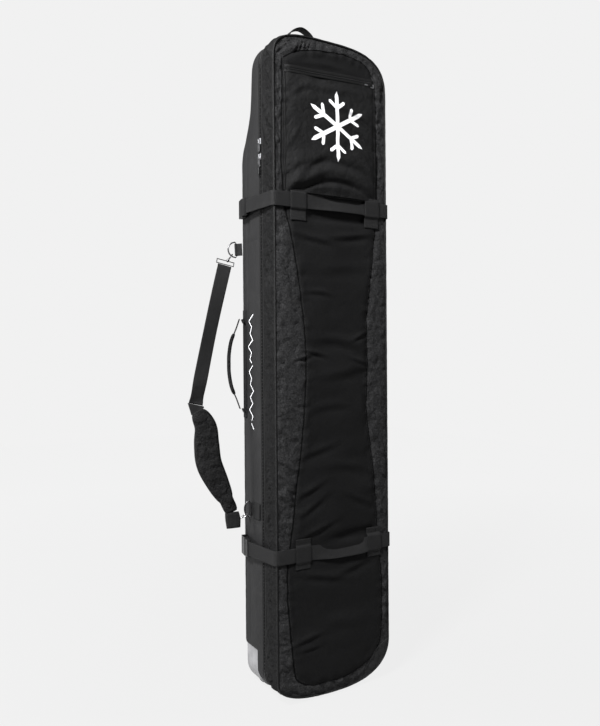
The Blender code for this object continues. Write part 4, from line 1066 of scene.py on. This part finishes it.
def compression_strap(label, z, rise, twist_at):
    """Webbing from the buckle's plug round the lid's face, which lifts and twists across the middle."""
    front = FRONT_Y - 0.0078
    plug = buckle_point(z, -0.0245)
    corners = [plug, (-0.1885, ZIP_Y, z), (-0.1800, front, z), (0.1800, front, z), (0.1775, -0.045, z)]
    path = rounded_path(corners, 0.0060, 0.0036)
    across = step(path[:, 0], -0.080, 0.010) * (1 - step(path[:, 0], 0.070, 0.125))
    path[:, 2] += rise * across
    out = np.array([np.interp(path[:, 0], [-0.19, -0.176, 0.170, 0.180], [-1, -0.25, 0.25, 1.0]),
                    np.interp(path[:, 1], [-0.09, -0.06], [-1, -0.15]), 0 * path[:, 0]]).T
    out[:, 1] -= 0.05
    lean = np.where(np.abs(path[:, 0]) < 0.16, twist_at, 0) * across
    swept(f"{label}_strap", path, flat_section(0.0375, 0.0019, 9), "webbing", "lid", up=out, twist=lean,
          replaces=(f"{label}_compression_strap",))
    lines, outs = edge_lines(path[:18], out[:18], 0.0150, 0.0010)
    stitches(f"{label}_strap_stitches", lines, "lid", outs)


def keeper(name, x, z_strap, low, high, width):
    """A webbing loop sewn to the lid above and below a strap."""
    half, rise = 0.0205, 0.0035
    crown = FRONT_Y - 0.0108
    zs = np.array([low, z_strap - half - rise, z_strap - half, z_strap + half, z_strap + half + rise, high])
    ys = [front_point(x, low)[1] - 0.0010, front_point(x, zs[1])[1] - 0.0008, crown, crown,
          front_point(x, zs[4])[1] - 0.0008, front_point(x, high)[1] - 0.0010]
    path = rounded_path([(x, y, z) for y, z in zip(ys, zs)], 0.0018, 0.0022)
    swept(name + "_cover", path, flat_section(width, 0.0014, 9), "webbing", "lid", up=(0, -1, 0.0),
          replaces=(name,))
    lines, outs = [], []
    for z0, z1 in ((low + 0.002, low + 0.010), (high - 0.008, high - 0.002)):
        if z1 - z0 > 0.004:
            w = width / 2 - 0.003
            y = min(front_point(x, (z0 + z1) / 2)[1] - 0.0019, ys[0])
            box = [(x - w, y, z0), (x + w, y, z0), (x + w, y, z1), (x - w, y, z1), (x - w, y, z0)]
            lines += [resample(np.array(box), 60), np.array([(x - w, y, z0), (x + w, y, z1)])]
            outs += [np.array([0, -1.0, 0])] * 2
    stitches(name + "_stitches", lines, "lid", outs)


def socket_tail(label, z):
    """Webbing from a buckle's socket round the corner to the back, sewn down there."""
    path = rounded_path([buckle_point(z, 0.0325), (-0.1802, 0.0925, z), (-0.168, 0.0935, z), (-0.150, 0.0866, z),
                         (-0.115, 0.0866, z)], 0.0022, 0.0022)
    ahead = np.gradient(path, axis=0)
    out = np.stack([-ahead[:, 1], ahead[:, 0], 0 * ahead[:, 0]], 1)
    swept(f"{label}_socket_tail", path, flat_section(0.0375, 0.0019, 9), "webbing", "tub", up=out,
          replaces=(f"{label}_socket_webbing",))
    w = 0.0155
    box = [(-0.118, 0.0878, z - w), (-0.146, 0.0878, z - w), (-0.146, 0.0878, z + w), (-0.118, 0.0878, z + w),
           (-0.118, 0.0878, z - w)]
    cross = [[(-0.118, 0.0878, z - w), (-0.146, 0.0878, z + w)],
             [(-0.118, 0.0878, z + w), (-0.146, 0.0878, z - w)]]
    stitches(f"{label}_tail_stitches", [resample(np.array(box), 70), *map(np.array, cross)], "tub",
             [np.array([0, 1.0, 0])] * 3)


# ---- Side handle and top handle ----
HANDLE_OUT = np.array([-math.cos(HANDLE_AZIMUTH), math.sin(HANDLE_AZIMUTH), 0])


def side_handle():
    """Webbing handle with a padded wrap, its stitching and the patch and feet sewn on the tub."""
    span = 0.248
    knots = np.array([(0.008, 0.004), (0.017, 0.030), (0.030, 0.062), (0.036, 0.096), (0.037, span / 2),
                      (0.036, span - 0.096), (0.030, span - 0.062), (0.017, span - 0.030), (0.008, span - 0.004)])
    curve = spline(knots, 84)
    out = HANDLE_OUT
    path = HANDLE_FOOT + out * curve[:, :1] + np.array([0, 0, 1.0]) * curve[:, 1:]
    swept("side_handle_strap", path, flat_section(0.0248, 0.0020, 9), "webbing", "side_handle", up=out,
          replaces=("side_handle_webbing",))
    lines, outs = edge_lines(path, np.broadcast_to(out, path.shape), 0.0098, 0.0011)
    stitches("side_handle_stitches", lines, "side_handle", outs)
    middle = path[(curve[:, 1] > 0.042) & (curve[:, 1] < span - 0.042)]
    count = len(middle)
    ends = np.minimum(np.arange(count), np.arange(count)[::-1]) / 3.0
    size = np.clip(0.66 + 0.34 * np.clip(ends, 0, 1) ** 0.5, 0, 1) * wobble(middle, 0.03, 71)
    section = oval_section(0.0162, 0.0046, (0.75, 0.75), 22)
    grip = swept("side_handle_wrap", middle, section, "gusset", "side_handle", up=out, scale=size,
                 replaces=("side_handle_grip",))
    lines, outs = edge_lines(middle[2:-2], np.broadcast_to(out, middle[2:-2].shape), 0.0132, 0.0038)
    stitches("grip_stitches", lines, "side_handle", outs)
    # Anchor patch sewn on the tub under the handle
    z0, z1 = HANDLE_FOOT[2] - 0.020, HANDLE_FOOT[2] + span + 0.020
    z = np.linspace(z0, z1, 60)[:, None]
    y = np.linspace(0.0665, 0.0835, 7)[None, :]
    x = -HALF_W - 0.0042 + 0 * z + 0 * y
    sheet_piece("handle_patch", np.stack([x, y + 0 * z, z + 0 * y], -1), "webbing", "tub", thick=0.0014,
                outward=(-1, 0, 0))
    for word, z_at in (("low", HANDLE_FOOT[2] + 0.004), ("high", HANDLE_FOOT[2] + span - 0.004)):
        foot = np.linspace((-0.1812, 0.0752, z_at - 0.010), (-0.1850, 0.0765, z_at), 6)
        swept(f"handle_foot_{word}", foot, flat_section(0.0240, 0.0040, 7), "webbing", "tub", up=(-1, 0.3, 0))


def top_handle():
    """A hoop of webbing above the bag, and its feet on the tub."""
    shape = [(-1, 0.03), (-0.98, 0.36), (-0.71, 0.77), (0, 1), (0.71, 0.77), (0.98, 0.36), (1, 0.03)]
    knots = np.array([(0.045 * u, 0.0, 0.068 * v) for u, v in shape]) + TOP_HANDLE_FOOT
    path = spline(knots, 60)
    middle = TOP_HANDLE_FOOT + np.array([0, 0, 0.02])
    out = path - middle
    swept("top_handle_strap", path, flat_section(0.0248, 0.0022, 9), "webbing", "top_handle_body", up=out,
          replaces=("top_handle",))
    lines, outs = edge_lines(path, out, 0.0098, 0.0012)
    stitches("top_handle_stitches", lines, "top_handle_body", outs)
    for side, word in ((-1, "left"), (1, "right")):
        centre = TOP_HANDLE_FOOT[0] + side * 0.045
        x = np.linspace(centre - 0.012, centre + 0.012, 7)
        rise = np.array([TOP_Z - top_drop(v) for v in x]) + 0.0020
        foot = np.stack([x, np.full(7, 0.020), rise], 1)
        swept(f"top_handle_foot_{word}", foot, flat_section(0.0280, 0.0030, 7), "webbing", "tub", up=(0, 0, 1))


def top_drop(x):
    """How far the top of the outline falls below its highest point at this X."""
    height, power = CORNERS[1 if x > 0 else -1, 1]
    return height * (1 - (1 - abs(x / HALF_W) ** power) ** (1 / power))


# ---- Shoulder strap ----
RING_LINE = UPPER_RING - LOWER_RING
STRAP_ALONG = unit(RING_LINE)


def strap_axes(azimuth):
    """Out from the ring line, and across the strap's plane."""
    out = np.array([-math.cos(azimuth), math.sin(azimuth), 0])
    out = unit(out - STRAP_ALONG * (out @ STRAP_ALONG))
    return out, np.cross(out, STRAP_ALONG)


STRAP_OUT, STRAP_FACE = strap_axes(STRAP_AZIMUTH)


def strap_point(rho, s, off=0.0):
    """A point of the shoulder strap: out from the ring line, along it, and off the strap's plane."""
    rho, s, off = (np.asarray(v, float)[..., None] for v in (rho, s, off))
    return LOWER_RING + STRAP_OUT * rho + STRAP_ALONG * s + STRAP_FACE * off


PAD_KNOTS = [(0.1265, 0.2660), (0.1080, 0.225), (0.1075, 0.180), (0.1040, 0.130), (0.0850, 0.080),
             (0.0650, 0.035), (0.0500, -0.002)]


def pad_half_width(share):
    return 0.017 + 0.016 * np.sin(np.pi * np.minimum(1.0, share * 1.15)).clip(0) ** 0.6


def shoulder_webbing():
    """The strap's upper webbing, with its end folded back at the hook and sewn down."""
    length = np.linalg.norm(RING_LINE)
    top, elbow = np.array([0.033, length - 0.040]), np.array([0.131, 0.285])
    run = unit(elbow - top)
    top = top + run * 0.0024
    share = np.linspace(0, 1, 90)
    flat = top + (elbow - top) * share[:, None]
    bow = 0.006 * np.sin(math.pi * share)
    path = strap_point(flat[:, 0] + bow * 0.4, flat[:, 1], 0.0010 * np.sin(2 * math.pi * share))
    twist = 0.20 * np.sin(math.pi * share) ** 2 + 0.30 * step(share, 0.80, 0.94) * (1 - step(share, 0.95, 1.0))
    swept("shoulder_strap_webbing", path, flat_section(0.0375, 0.0020, 9), "webbing", "shoulder_strap",
          up=STRAP_FACE, twist=twist, replaces=("shoulder_webbing",))
    # Fold of the webbing at the hook's eye, with its sewn end
    back = [top + run * 0.034, top + run * 0.012, top - run * 0.0004]
    layer = np.array([strap_point(p[0], p[1], 0.0024) for p in back])
    swept("shoulder_webbing_fold", resample(layer, 14), flat_section(0.0370, 0.0018, 9), "webbing",
          "shoulder_strap", up=STRAP_FACE)
    w = 0.0145
    across = np.array([-run[1], run[0]])
    around = ((0.012, -w), (0.030, -w), (0.030, w), (0.012, w), (0.012, -w))
    box = [strap_point(*(top + run * a + across * b), 0.0036) for a, b in around]
    stitches("webbing_fold_stitches", crossed_box(box, 60), "shoulder_strap", [STRAP_FACE] * 3)


PAD_SHAPE = (0.85, 0.62)  # crowned faces that meet in a bound edge


def shoulder_pad():
    """The crowned foam pad, with its bound edge and stitching."""
    spine = spline(PAD_KNOTS, 76)
    ahead = unit(np.gradient(spine, axis=0))
    across = np.stack([-ahead[:, 1], ahead[:, 0]], 1)
    rows, edges = [], [[], []]
    for i, (centre, side) in enumerate(zip(spine, across)):
        share = i / (len(spine) - 1)
        half = float(pad_half_width(share))
        near = min(share, 1 - share) / 0.05
        half = half * (0.80 + 0.20 * min(1.0, near) ** 0.5)
        thick = 0.0088 * (0.45 + 0.55 * min(1.0, near) ** 0.6)
        section = oval_section(half, thick, PAD_SHAPE, 30)
        ripple = 0.0009 * noise(section[:, 0] / 0.012, share / 0.045 + 0 * section[:, 0], 81)
        spots = centre + side * section[:, :1]
        rows.append(strap_point(spots[:, 0], spots[:, 1], section[:, 1] * (1 + ripple / 0.008)))
        for k, sign in enumerate((-1, 1)):
            edges[k].append(centre + side * sign * half * 0.985)
    pad = loft("shoulder_pad_cover", rows, "gusset", "shoulder_strap", replaces=("shoulder_pad",))
    rim = resample(np.vstack([edges[0], edges[1][::-1]]), 260, closed=True)
    path = strap_point(rim[:, 0], rim[:, 1])
    swept("pad_binding", path, flat_section(0.0066, 0.0030, 7), "piping", "shoulder_strap", up=STRAP_FACE,
          closed=True, twist=math.pi / 2, scale=wobble(path, 0.08, 83))
    lines, outs = [], []
    for face in (-1, 1):
        for edge in edges:
            edge = np.array(edge)[4:-4]
            line = edge + unit(spine[4:-4] - edge) * 0.0062
            lines.append(strap_point(line[:, 0], line[:, 1], face * 0.0074))
            outs.append(STRAP_FACE * face)
    stitches("pad_stitches", lines, "shoulder_strap", outs)


def pad_cap():
    """Webbing sleeve from the pad's end to the lower hook."""
    corners = [(0.0500, -0.003), (0.0490, -0.012), (0.0480, -0.024), (0.0478, -0.036), (0.0476, -0.0445)]
    halves = [0.0185, 0.0200, 0.0205, 0.0195, 0.0185]
    spine = spline(corners, 20)
    half = np.interp(np.linspace(0, 1, 20), np.linspace(0, 1, 5), halves)
    rows = []
    for i, centre in enumerate(spine):
        near = min(i, 19 - i) / 2.0
        thick = 0.0056 * (0.72 + 0.28 * min(1.0, near))
        section = oval_section(half[i], thick, PAD_SHAPE, 26)
        rows.append(strap_point(centre[0] + section[:, 0], centre[1] + 0 * section[:, 0], section[:, 1]))
    loft("pad_cap_cover", rows, "webbing", "shoulder_strap", replaces=("pad_end_cap",))
    w = 0.0140
    lines, outs = [], []
    for face in (-1, 1):
        around = [(0.0488 - w, -0.010), (0.0488 + w, -0.010), (0.0478 + w, -0.036), (0.0478 - w, -0.036),
                  (0.0488 - w, -0.010)]
        lines += crossed_box([strap_point(a, b, face * 0.0060) for a, b in around], 70)
        outs += [STRAP_FACE * face] * 3
    stitches("cap_stitches", lines, "shoulder_strap", outs)


def ring_tabs():
    """Webbing folded round each ring's bar and sewn to the tub."""
    def round_bar(*degrees):
        return [(0.0034 * math.cos(t), 0.0034 * math.sin(t)) for t in np.radians(degrees)]

    for label, place, azimuth in (("lower", LOWER_RING, 0.0), ("upper", UPPER_RING, math.radians(35))):
        out, _ = strap_axes(azimuth)
        front = np.cross(STRAP_ALONG, out)
        if label == "lower":
            around = round_bar(150, 110, 70, 20, -30, -80, -130, -170, 165)
            flat = [(-0.0030, 0.0425), (-0.0030, 0.0200), (-0.0031, 0.0050), *around[::-1], (-0.0046, 0.0060),
                    (-0.0046, 0.0200), (-0.0046, 0.0425)]
        else:
            around = round_bar(150, 110, 60, 0, -60, -110, -150)
            flat = [(-0.0165, 0.0010), (-0.0060, 0.0014), *around, (-0.0060, -0.0014), (-0.0165, -0.0010)]
        flat = resample(np.array(flat), 60)
        path = place + out * flat[:, :1] + front * flat[:, 1:]
        ahead = np.gradient(path, axis=0)
        normal = np.cross(ahead, STRAP_ALONG)
        swept(f"{label}_tab", path, flat_section(0.0330, 0.0014, 9), "webbing", "tub", up=normal,
              replaces=(f"{label}_ring_tab",))
    z0, z1 = LOWER_RING[2] - 0.019, LOWER_RING[2] + 0.019
    patch_z = np.linspace(z0 - 0.002, z1 + 0.002, 16)[:, None]
    patch_y = np.linspace(-0.006, 0.030, 14)[None, :]
    points = np.stack([-0.1795 + 0 * patch_z + 0 * patch_y, patch_y + 0 * patch_z, patch_z + 0 * patch_y], -1)
    sheet_piece("lower_tab_patch", points, "webbing", "tub", thick=0.0014, outward=(-1, 0, 0))
    box = [(-0.1868, 0.012, z0 + 0.004), (-0.1868, 0.036, z0 + 0.004), (-0.1868, 0.036, z1 - 0.004),
           (-0.1868, 0.012, z1 - 0.004), (-0.1868, 0.012, z0 + 0.004)]
    stitches("tab_stitches", crossed_box(box, 60), "tub", [np.array([-1.0, 0, 0])] * 3)


# ---- Inside: quilted linings ----
def linings():
    """The padded inner faces of both halves, bound at the rim."""
    x, z = face_grid(45, 0.012, False)
    shrink = 1 - 0.0125 / HALF_W
    x, z = x * shrink, (z - 0.85) * (1 - 0.0125 / 0.843) + 0.85
    diagonals = [np.abs(np.sin(line * math.pi / 0.080)) ** 0.5 for line in (x + z, x - z)]
    quilt = 0.0018 * (diagonals[0] + diagonals[1])
    corner = (np.abs(x) > HOUSING_INNER - 0.004) & (z < HOUSING_TOP + 0.004)
    tub_floor = np.where(corner, HOUSING_FRONT - 0.004, BACK_Y - 0.0150)
    tub = np.stack([x, tub_floor - quilt, z], -1)
    sheet_piece("tub_lining_floor", round_back(tub), "lining", "tub", replaces=("back_stiffener",),
                outward=(0, -1, 0))
    lid = np.stack([x, FRONT_Y + 0.0125 + quilt, z], -1)
    sheet_piece("lid_lining_floor", lid, "lining", "lid", outward=(0, 1, 0))
    inset = LOOP - LOOP_OUT * 0.0110
    low = (np.abs(inset[:, 0]) > HOUSING_INNER - 0.006) & (inset[:, 1] < HOUSING_TOP + 0.004)
    for name, body, y0, y1 in (("lid_lining_wall", "lid", LID_EDGE, FRONT_Y + 0.0120),
                               ("tub_lining_wall", "tub", TUB_EDGE, BACK_Y - 0.0145)):
        rows = []
        for t in np.linspace(0, 1, 9):
            y = np.full(len(inset), y0 + (y1 - y0) * t)
            if body == "tub":
                y = np.where(low, np.minimum(y, HOUSING_FRONT - 0.004), y)
            rows.append(at_depth(inset - LOOP_OUT * (0.0016 * math.sin(math.pi * t)), y))
        rows = round_back(rows) if body == "tub" else np.array(rows)
        made = sheet_piece(name, rows, "lining", body, wrap_cols=True, outward="away")
        made.data.flip_normals()
    for name, body, y, shift in (("lid_rim", "lid", LID_EDGE, -1), ("tub_rim", "tub", TUB_EDGE, 1)):
        rows = []
        for inward, back in ((0.0, 0.0), (0.0012, -0.0007), (0.0060, -0.0009), (0.0104, -0.0006),
                             (0.0114, 0.0006)):
            rows.append(at_depth(LOOP - LOOP_OUT * inward, y + shift * back + shift * 0.0006))
        sheet_piece(name, np.array(rows), "piping", body, wrap_cols=True, outward=(0, -shift, 0))


# ---- Printed line on the tub's side ----
def side_print():
    """A plain zig-zag ridge line, printed along the tub's side."""
    peaks = [0.0, 0.8, 0.25, 0.62, 0.1, 1.0, 0.35, 0.7, 0.15, 0.9, 0.4, 0.66, 0.05, 0.75, 0.3, 0.95, 0.2,
             0.55, 0.0]
    z = np.linspace(0.996, 0.694, len(peaks))
    line = resample(np.stack([0.0240 + 0.0280 * np.array(peaks), z], 1), 420)
    keep = (np.floor(np.linspace(0, 13.999, 419)) % 7 != 6) | (np.arange(419) % 30 > 8)
    ahead = unit(np.gradient(line, axis=0))
    across = np.stack([-ahead[:, 1], ahead[:, 0]], 1) * 0.00115
    points = []
    for row in (line - across, line, line + across):
        off_side = 9 * (LOOP[:, 0][None, :] > -0.1)
        near = np.argmin(np.abs(LOOP[:, 1][None, :] - row[:, 1][:, None]) + off_side, axis=1)
        lift = np.array([tub_lift(np.array([-HALF_W]), np.array([v]), np.array([LOOP_RUN[i]]), y)[0]
                         for (y, v), i in zip(row, near)])
        points.append(np.stack([-HALF_W - lift - 0.0006, row[:, 0], row[:, 1]], 1))
    verts = np.array(points).reshape(-1, 3)
    faces = grid_faces(3, len(line))
    faces = faces[keep[(faces[:, 0] % len(line)).clip(0, 418)]]
    used = np.unique(faces)
    new = np.zeros(len(verts), int)
    new[used] = np.arange(len(used))
    piece("side_print", verts[used], new[faces], "print", "tub", verts[used][:, 1:], outward=(-1, 0, 0))


def corner_patch():
    """Scuff patch over the lid's lower right corner."""
    a = np.linspace(0, 1, 30)
    high, low = np.array([0.1380, 0.0960]), np.array([0.0920, 0.0400])
    inner = high + (low - high) * a[:, None]
    start, end = (np.argmin(np.linalg.norm(OUTLINE - p, axis=1)) for p in ((0.1735, 0.112), (0.092, 0.0165)))
    ids = np.arange(min(start, end), max(start, end) + 1)
    outer = resample(OUTLINE[ids], 30)
    if np.linalg.norm(outer[0] - OUTLINE[start]) > 0.01:
        outer = outer[::-1]
    b = np.linspace(0, 0.955, 22)[:, None, None]
    flat = inner * (1 - b) + outer * b
    points = front_point(flat[..., 0], flat[..., 1], 0.0011)
    sheet_piece("corner_patch", points, "side", "lid", outward=(0, -1, 0), thick=0.0010)
    rim = front_point(inner[:, 0], inner[:, 1], 0.0018)
    swept("corner_patch_rim", rim, flat_section(0.0050, 0.0012, 5), "piping", "lid", up=(0, -1, 0))


# ---- Hard parts ----
def lathe(name, profile, centre, look, body, replaces, count=72, extra=None):
    """A closed profile of radius and offset, turned about an axle along X."""
    profile = np.asarray(profile, float)
    turn = np.linspace(0, 2 * np.pi, count, endpoint=False)
    points = np.stack([
        centre[0] + profile[None, :, 1] + 0 * turn[:, None],
        centre[1] + profile[None, :, 0] * np.cos(turn)[:, None],
        centre[2] + profile[None, :, 0] * np.sin(turn)[:, None]], -1)
    faces = grid_faces(count, len(profile), True, True)
    verts, faces = points.reshape(-1, 3), [tuple(f) for f in faces]
    if extra:
        more, more_faces = extra
        base = len(verts)
        verts = np.vstack([verts, more])
        faces += [tuple(base + i for i in f) for f in more_faces]
    return piece(name, verts, faces, look, body, np.zeros((len(verts), 2)), replaces=replaces)


def wheels():
    """Grooved tyres and six-spoked hubs."""
    for side, word in ((-1, "left"), (1, "right")):
        centre = np.array([side * 0.128, 0.067, 0.0395])
        half, top = 0.0130, 0.0375
        tread = [(0.0264, half), (0.0330, half), (0.0352, half - 0.0006), (0.0368, half - 0.0024),
                 (top, half - 0.0045)]
        grooves = []
        for at in (0.0058, 0.0, -0.0058):
            grooves += [(top, at + 0.0012), (top - 0.0012, at + 0.0008), (top - 0.0012, at - 0.0008),
                        (top, at - 0.0012)]
        profile = tread + grooves + [(r, -x) for r, x in tread[::-1]]
        lathe(f"tyre_{word}_tread", profile, centre, "rubber", f"wheel_{word}", (f"tyre_{word}",))
        rim, face = 0.0259, 0.0120
        web = [(rim, face), (0.0238, face), (0.0226, face - 0.0030), (0.0150, 0.0050), (0.0098, 0.0056),
               (0.0088, face - 0.0006), (0.0080, face), (0.0046, face)]
        hub = web + [(r, -x) for r, x in web[::-1]]
        verts, faces = [], []
        for spoke in range(6):
            angle = math.radians(60 * spoke + 15)
            out = np.array([math.cos(angle), math.sin(angle)])
            across = np.array([-math.sin(angle), math.cos(angle)])
            base = len(verts)
            for x_ in (-0.0098, 0.0098):
                for r in (0.0085, 0.0240):
                    for k in (-0.0014, 0.0014):
                        spot = out * r + across * k
                        verts.append((centre[0] + x_, centre[1] + spot[0], centre[2] + spot[1]))
            faces += [tuple(base + i for i in f) for f in
                      ((0, 1, 3, 2), (4, 6, 7, 5), (0, 4, 5, 1), (2, 3, 7, 6), (0, 2, 6, 4), (1, 5, 7, 3))]
        made = lathe(f"hub_{word}_spoked", hub, centre, "grey", f"wheel_{word}", (f"wheel_hub_{word}",),
                     extra=(np.array(verts), faces))
        for polygon in made.data.polygons:
            polygon.use_smooth = len(polygon.vertices) == 4 and polygon.index < 72 * len(hub)


def dress(name, look, bevel=0.0, voxel=0.0):
    """A CAD node that keeps its shape: its material, and rounded edges or an even, softened surface."""
    obj = bpy.data.objects[name]
    obj.data.materials.clear()
    obj.data.materials.append(SOLID[look])
    if voxel:
        remesh = obj.modifiers.new("even", "REMESH")
        remesh.mode, remesh.voxel_size, remesh.use_smooth_shade = "VOXEL", voxel, True
        smooth = obj.modifiers.new("soften", "SMOOTH")
        smooth.iterations, smooth.factor = 4, 0.5
    elif bevel:
        round_off = obj.modifiers.new("round", "BEVEL")
        round_off.width, round_off.segments, round_off.limit_method = bevel, 3, "ANGLE"
        round_off.angle_limit = math.radians(35)
        round_off.harden_normals = False
    obj.data.polygons.foreach_set("use_smooth", [False] * len(obj.data.polygons))


def hard_parts():
    for label in ("upper", "lower"):
        dress(f"{label}_buckle_socket", "black", bevel=0.0012)
        dress(f"{label}_buckle_plug", "black", bevel=0.0007)
        for end in ("top", "bottom"):
            dress(f"{label}_latch_arm_{end}", "black", bevel=0.0004)
        dress(f"{label}_d_ring", "dark_metal", voxel=0.00045)
        # The upper hook is a twin of the lower hook. Its darker metal is painted shade, for where it sits in shade at
        # the bag's back corner; the D-rings' dark metal is their own colour.
        dress(f"{label}_hook", "dark_metal" if label == "upper" else "metal", voxel=0.00045)
        dress(f"{label}_hook_gate", "metal", voxel=0.0004)
        dress(f"{label}_zip_slider", "metal", voxel=0.00035)
        dress(f"{label}_zip_pull", "metal", bevel=0.0002)
    dress("pocket_slider", "metal", voxel=0.00035)
    dress("pocket_pull", "metal", bevel=0.0002)
    dress("strap_adjuster", "black", bevel=0.0010)
    dress("base_skid", "black", bevel=0.0012)
    for word in ("left", "right"):
        dress(f"wheel_housing_{word}", "grey", bevel=0.0022)
        dress(f"axle_{word}", "metal", bevel=0.0004)


def pull_tab():
    """Moulded tab on the end of the lower main zip pull, on a cord loop."""
    tip = np.array([-0.1801, ZIP_Y, 1.398 - 0.0205])
    loop = tip + np.array([(0, 0, 0.0), (-0.0022, 0.0010, -0.0035), (-0.0018, 0.0008, -0.0100)])
    swept("lower_pull_cord", spline(loop, 16), round_section(0.0011, 8), "webbing", "lower_pull", up=(0, 1, 0))
    path = np.array([tip + np.array([-0.0018, 0.0008, -0.0085 - 0.0180 * t]) for t in np.linspace(0, 1, 14)])
    ends = np.minimum(np.arange(14), np.arange(14)[::-1])
    swept("lower_pull_tab", path, oval_section(0.0042, 0.0017, (0.7, 0.7), 16), "black", "lower_pull",
          up=(-1, 0, 0), scale=np.interp(ends, [0, 1, 2], [0.75, 0.93, 1.0]))


# ---- Floor, light and camera ----
PALE = (0.8796, 0.8796, 0.8796, 1)


def stage():
    """A pale floor that fades into the background, a plain world and three soft lights."""
    tree_material, tree, shader = shader_of("floor")
    shader.inputs["Base Color"].default_value = (0.80, 0.80, 0.80, 1)
    shader.inputs["Roughness"].default_value = 0.9
    shader.inputs["Specular IOR Level"].default_value = 0.0
    where = node(tree, "ShaderNodeTexCoord").outputs["Object"]
    away = node(tree, "ShaderNodeVectorMath", {0: where}, operation="LENGTH")
    even = node(tree, "ShaderNodeMapRange", {"Value": away.outputs["Value"], "From Min": 0.5, "From Max": 3.0,
                                             "To Min": 0.965, "To Max": 1.008}).outputs[0]
    glow = node(tree, "ShaderNodeEmission", {"Color": PALE, "Strength": even})
    mix = node(tree, "ShaderNodeMixShader")
    mix.inputs["Fac"].default_value = 0.985
    tree.links.new(shader.outputs[0], mix.inputs[1])
    tree.links.new(glow.outputs[0], mix.inputs[2])
    tree.links.new(mix.outputs[0], tree.nodes["Material Output"].inputs["Surface"])
    mesh = bpy.data.meshes.new("floor")
    mesh.from_pydata([(-3.5, -1.2, 0), (4.5, -1.2, 0), (4.5, 6, 0), (-3.5, 6, 0)], [], [(0, 1, 2, 3)])
    mesh.materials.append(tree_material)
    floor = bpy.data.objects.new("floor", mesh)
    bpy.context.scene.collection.objects.link(floor)

    world = bpy.data.worlds.new("studio")
    bpy.context.scene.world = world
    world.use_nodes = True
    tree = world.node_tree
    tree.nodes.clear()
    path = node(tree, "ShaderNodeLightPath")
    seen = node(tree, "ShaderNodeBackground", {"Color": PALE, "Strength": 1.0})
    soft = node(tree, "ShaderNodeBackground", {"Color": (1, 1, 1, 1), "Strength": 0.10})
    mix = node(tree, "ShaderNodeMixShader")
    tree.links.new(path.outputs["Is Camera Ray"], mix.inputs["Fac"])
    tree.links.new(soft.outputs[0], mix.inputs[1])
    tree.links.new(seen.outputs[0], mix.inputs[2])
    tree.links.new(mix.outputs[0], node(tree, "ShaderNodeOutputWorld").inputs["Surface"])

    for name, place, target, size, power in (
            ("key", (-2.2, -1.25, 3.1), (-0.05, -0.05, 0.95), (0.6, 0.6), 420),
            ("side", (-2.9, 1.2, 1.0), (-0.17, 0.02, 0.45), (0.8, 0.8), 80),
            ("fill", (2.4, -1.3, 1.7), (0.10, -0.08, 0.85), (0.6, 1.4), 22)):
        light = bpy.data.lights.new(name, "AREA")
        light.shape, light.size, light.size_y, light.energy = "RECTANGLE", size[0], size[1], power
        lamp = bpy.data.objects.new(name, light)
        lamp.location = place
        lamp.rotation_euler = (Vector(target) - Vector(place)).to_track_quat("-Z", "Y").to_euler()
        bpy.context.scene.collection.objects.link(lamp)


def camera():
    """Level view from the front left, slightly rolled."""
    ahead = Vector((0.51000, 0.86015, -0.00619)).normalized()
    right = ahead.cross(Vector((0, 0, 1))).normalized()
    up = right.cross(ahead)
    roll = math.radians(-0.441)
    c, s = math.cos(roll), math.sin(roll)
    right, up = right * c + up * s, up * c - right * s
    data = bpy.data.cameras.new("camera")
    data.lens, data.sensor_width, data.clip_end = 33.89, 36.0, 200.0
    eye = bpy.data.objects.new("camera", data)
    turned = Matrix((right, up, -ahead)).transposed().to_4x4()
    eye.matrix_world = Matrix.Translation((-0.98888, -1.58247, 0.87865)) @ turned
    bpy.context.scene.collection.objects.link(eye)
    bpy.context.scene.camera = eye


# ---- The bag ----
bpy.context.scene.view_settings.view_transform = "Standard"
camera()
lid_front()
back_panel()
gussets()
zip_halves()
hinge_strip()
pipings()
front_cords()
seam_stitches()
pocket()
emblem()
compression_strap("upper", UPPER_STRAP_Z, 0.0, 0.30)
compression_strap("lower", LOWER_STRAP_Z, -0.006, 0.45)
for side, x in (("left", -0.1075), ("right", 0.1220)):
    keeper(f"upper_keeper_{side}", x, UPPER_STRAP_Z, 1.229, 1.308, 0.046)
for side, x in (("left", -0.1000), ("right", 0.1230)):
    keeper(f"lower_keeper_{side}", x, LOWER_STRAP_Z, 0.343, 0.421, 0.044)
socket_tail("upper", UPPER_STRAP_Z)
socket_tail("lower", LOWER_STRAP_Z)
side_handle()
top_handle()
shoulder_webbing()
shoulder_pad()
pad_cap()
ring_tabs()
linings()
side_print()
corner_patch()
wheels()
hard_parts()
pull_tab()
stage()
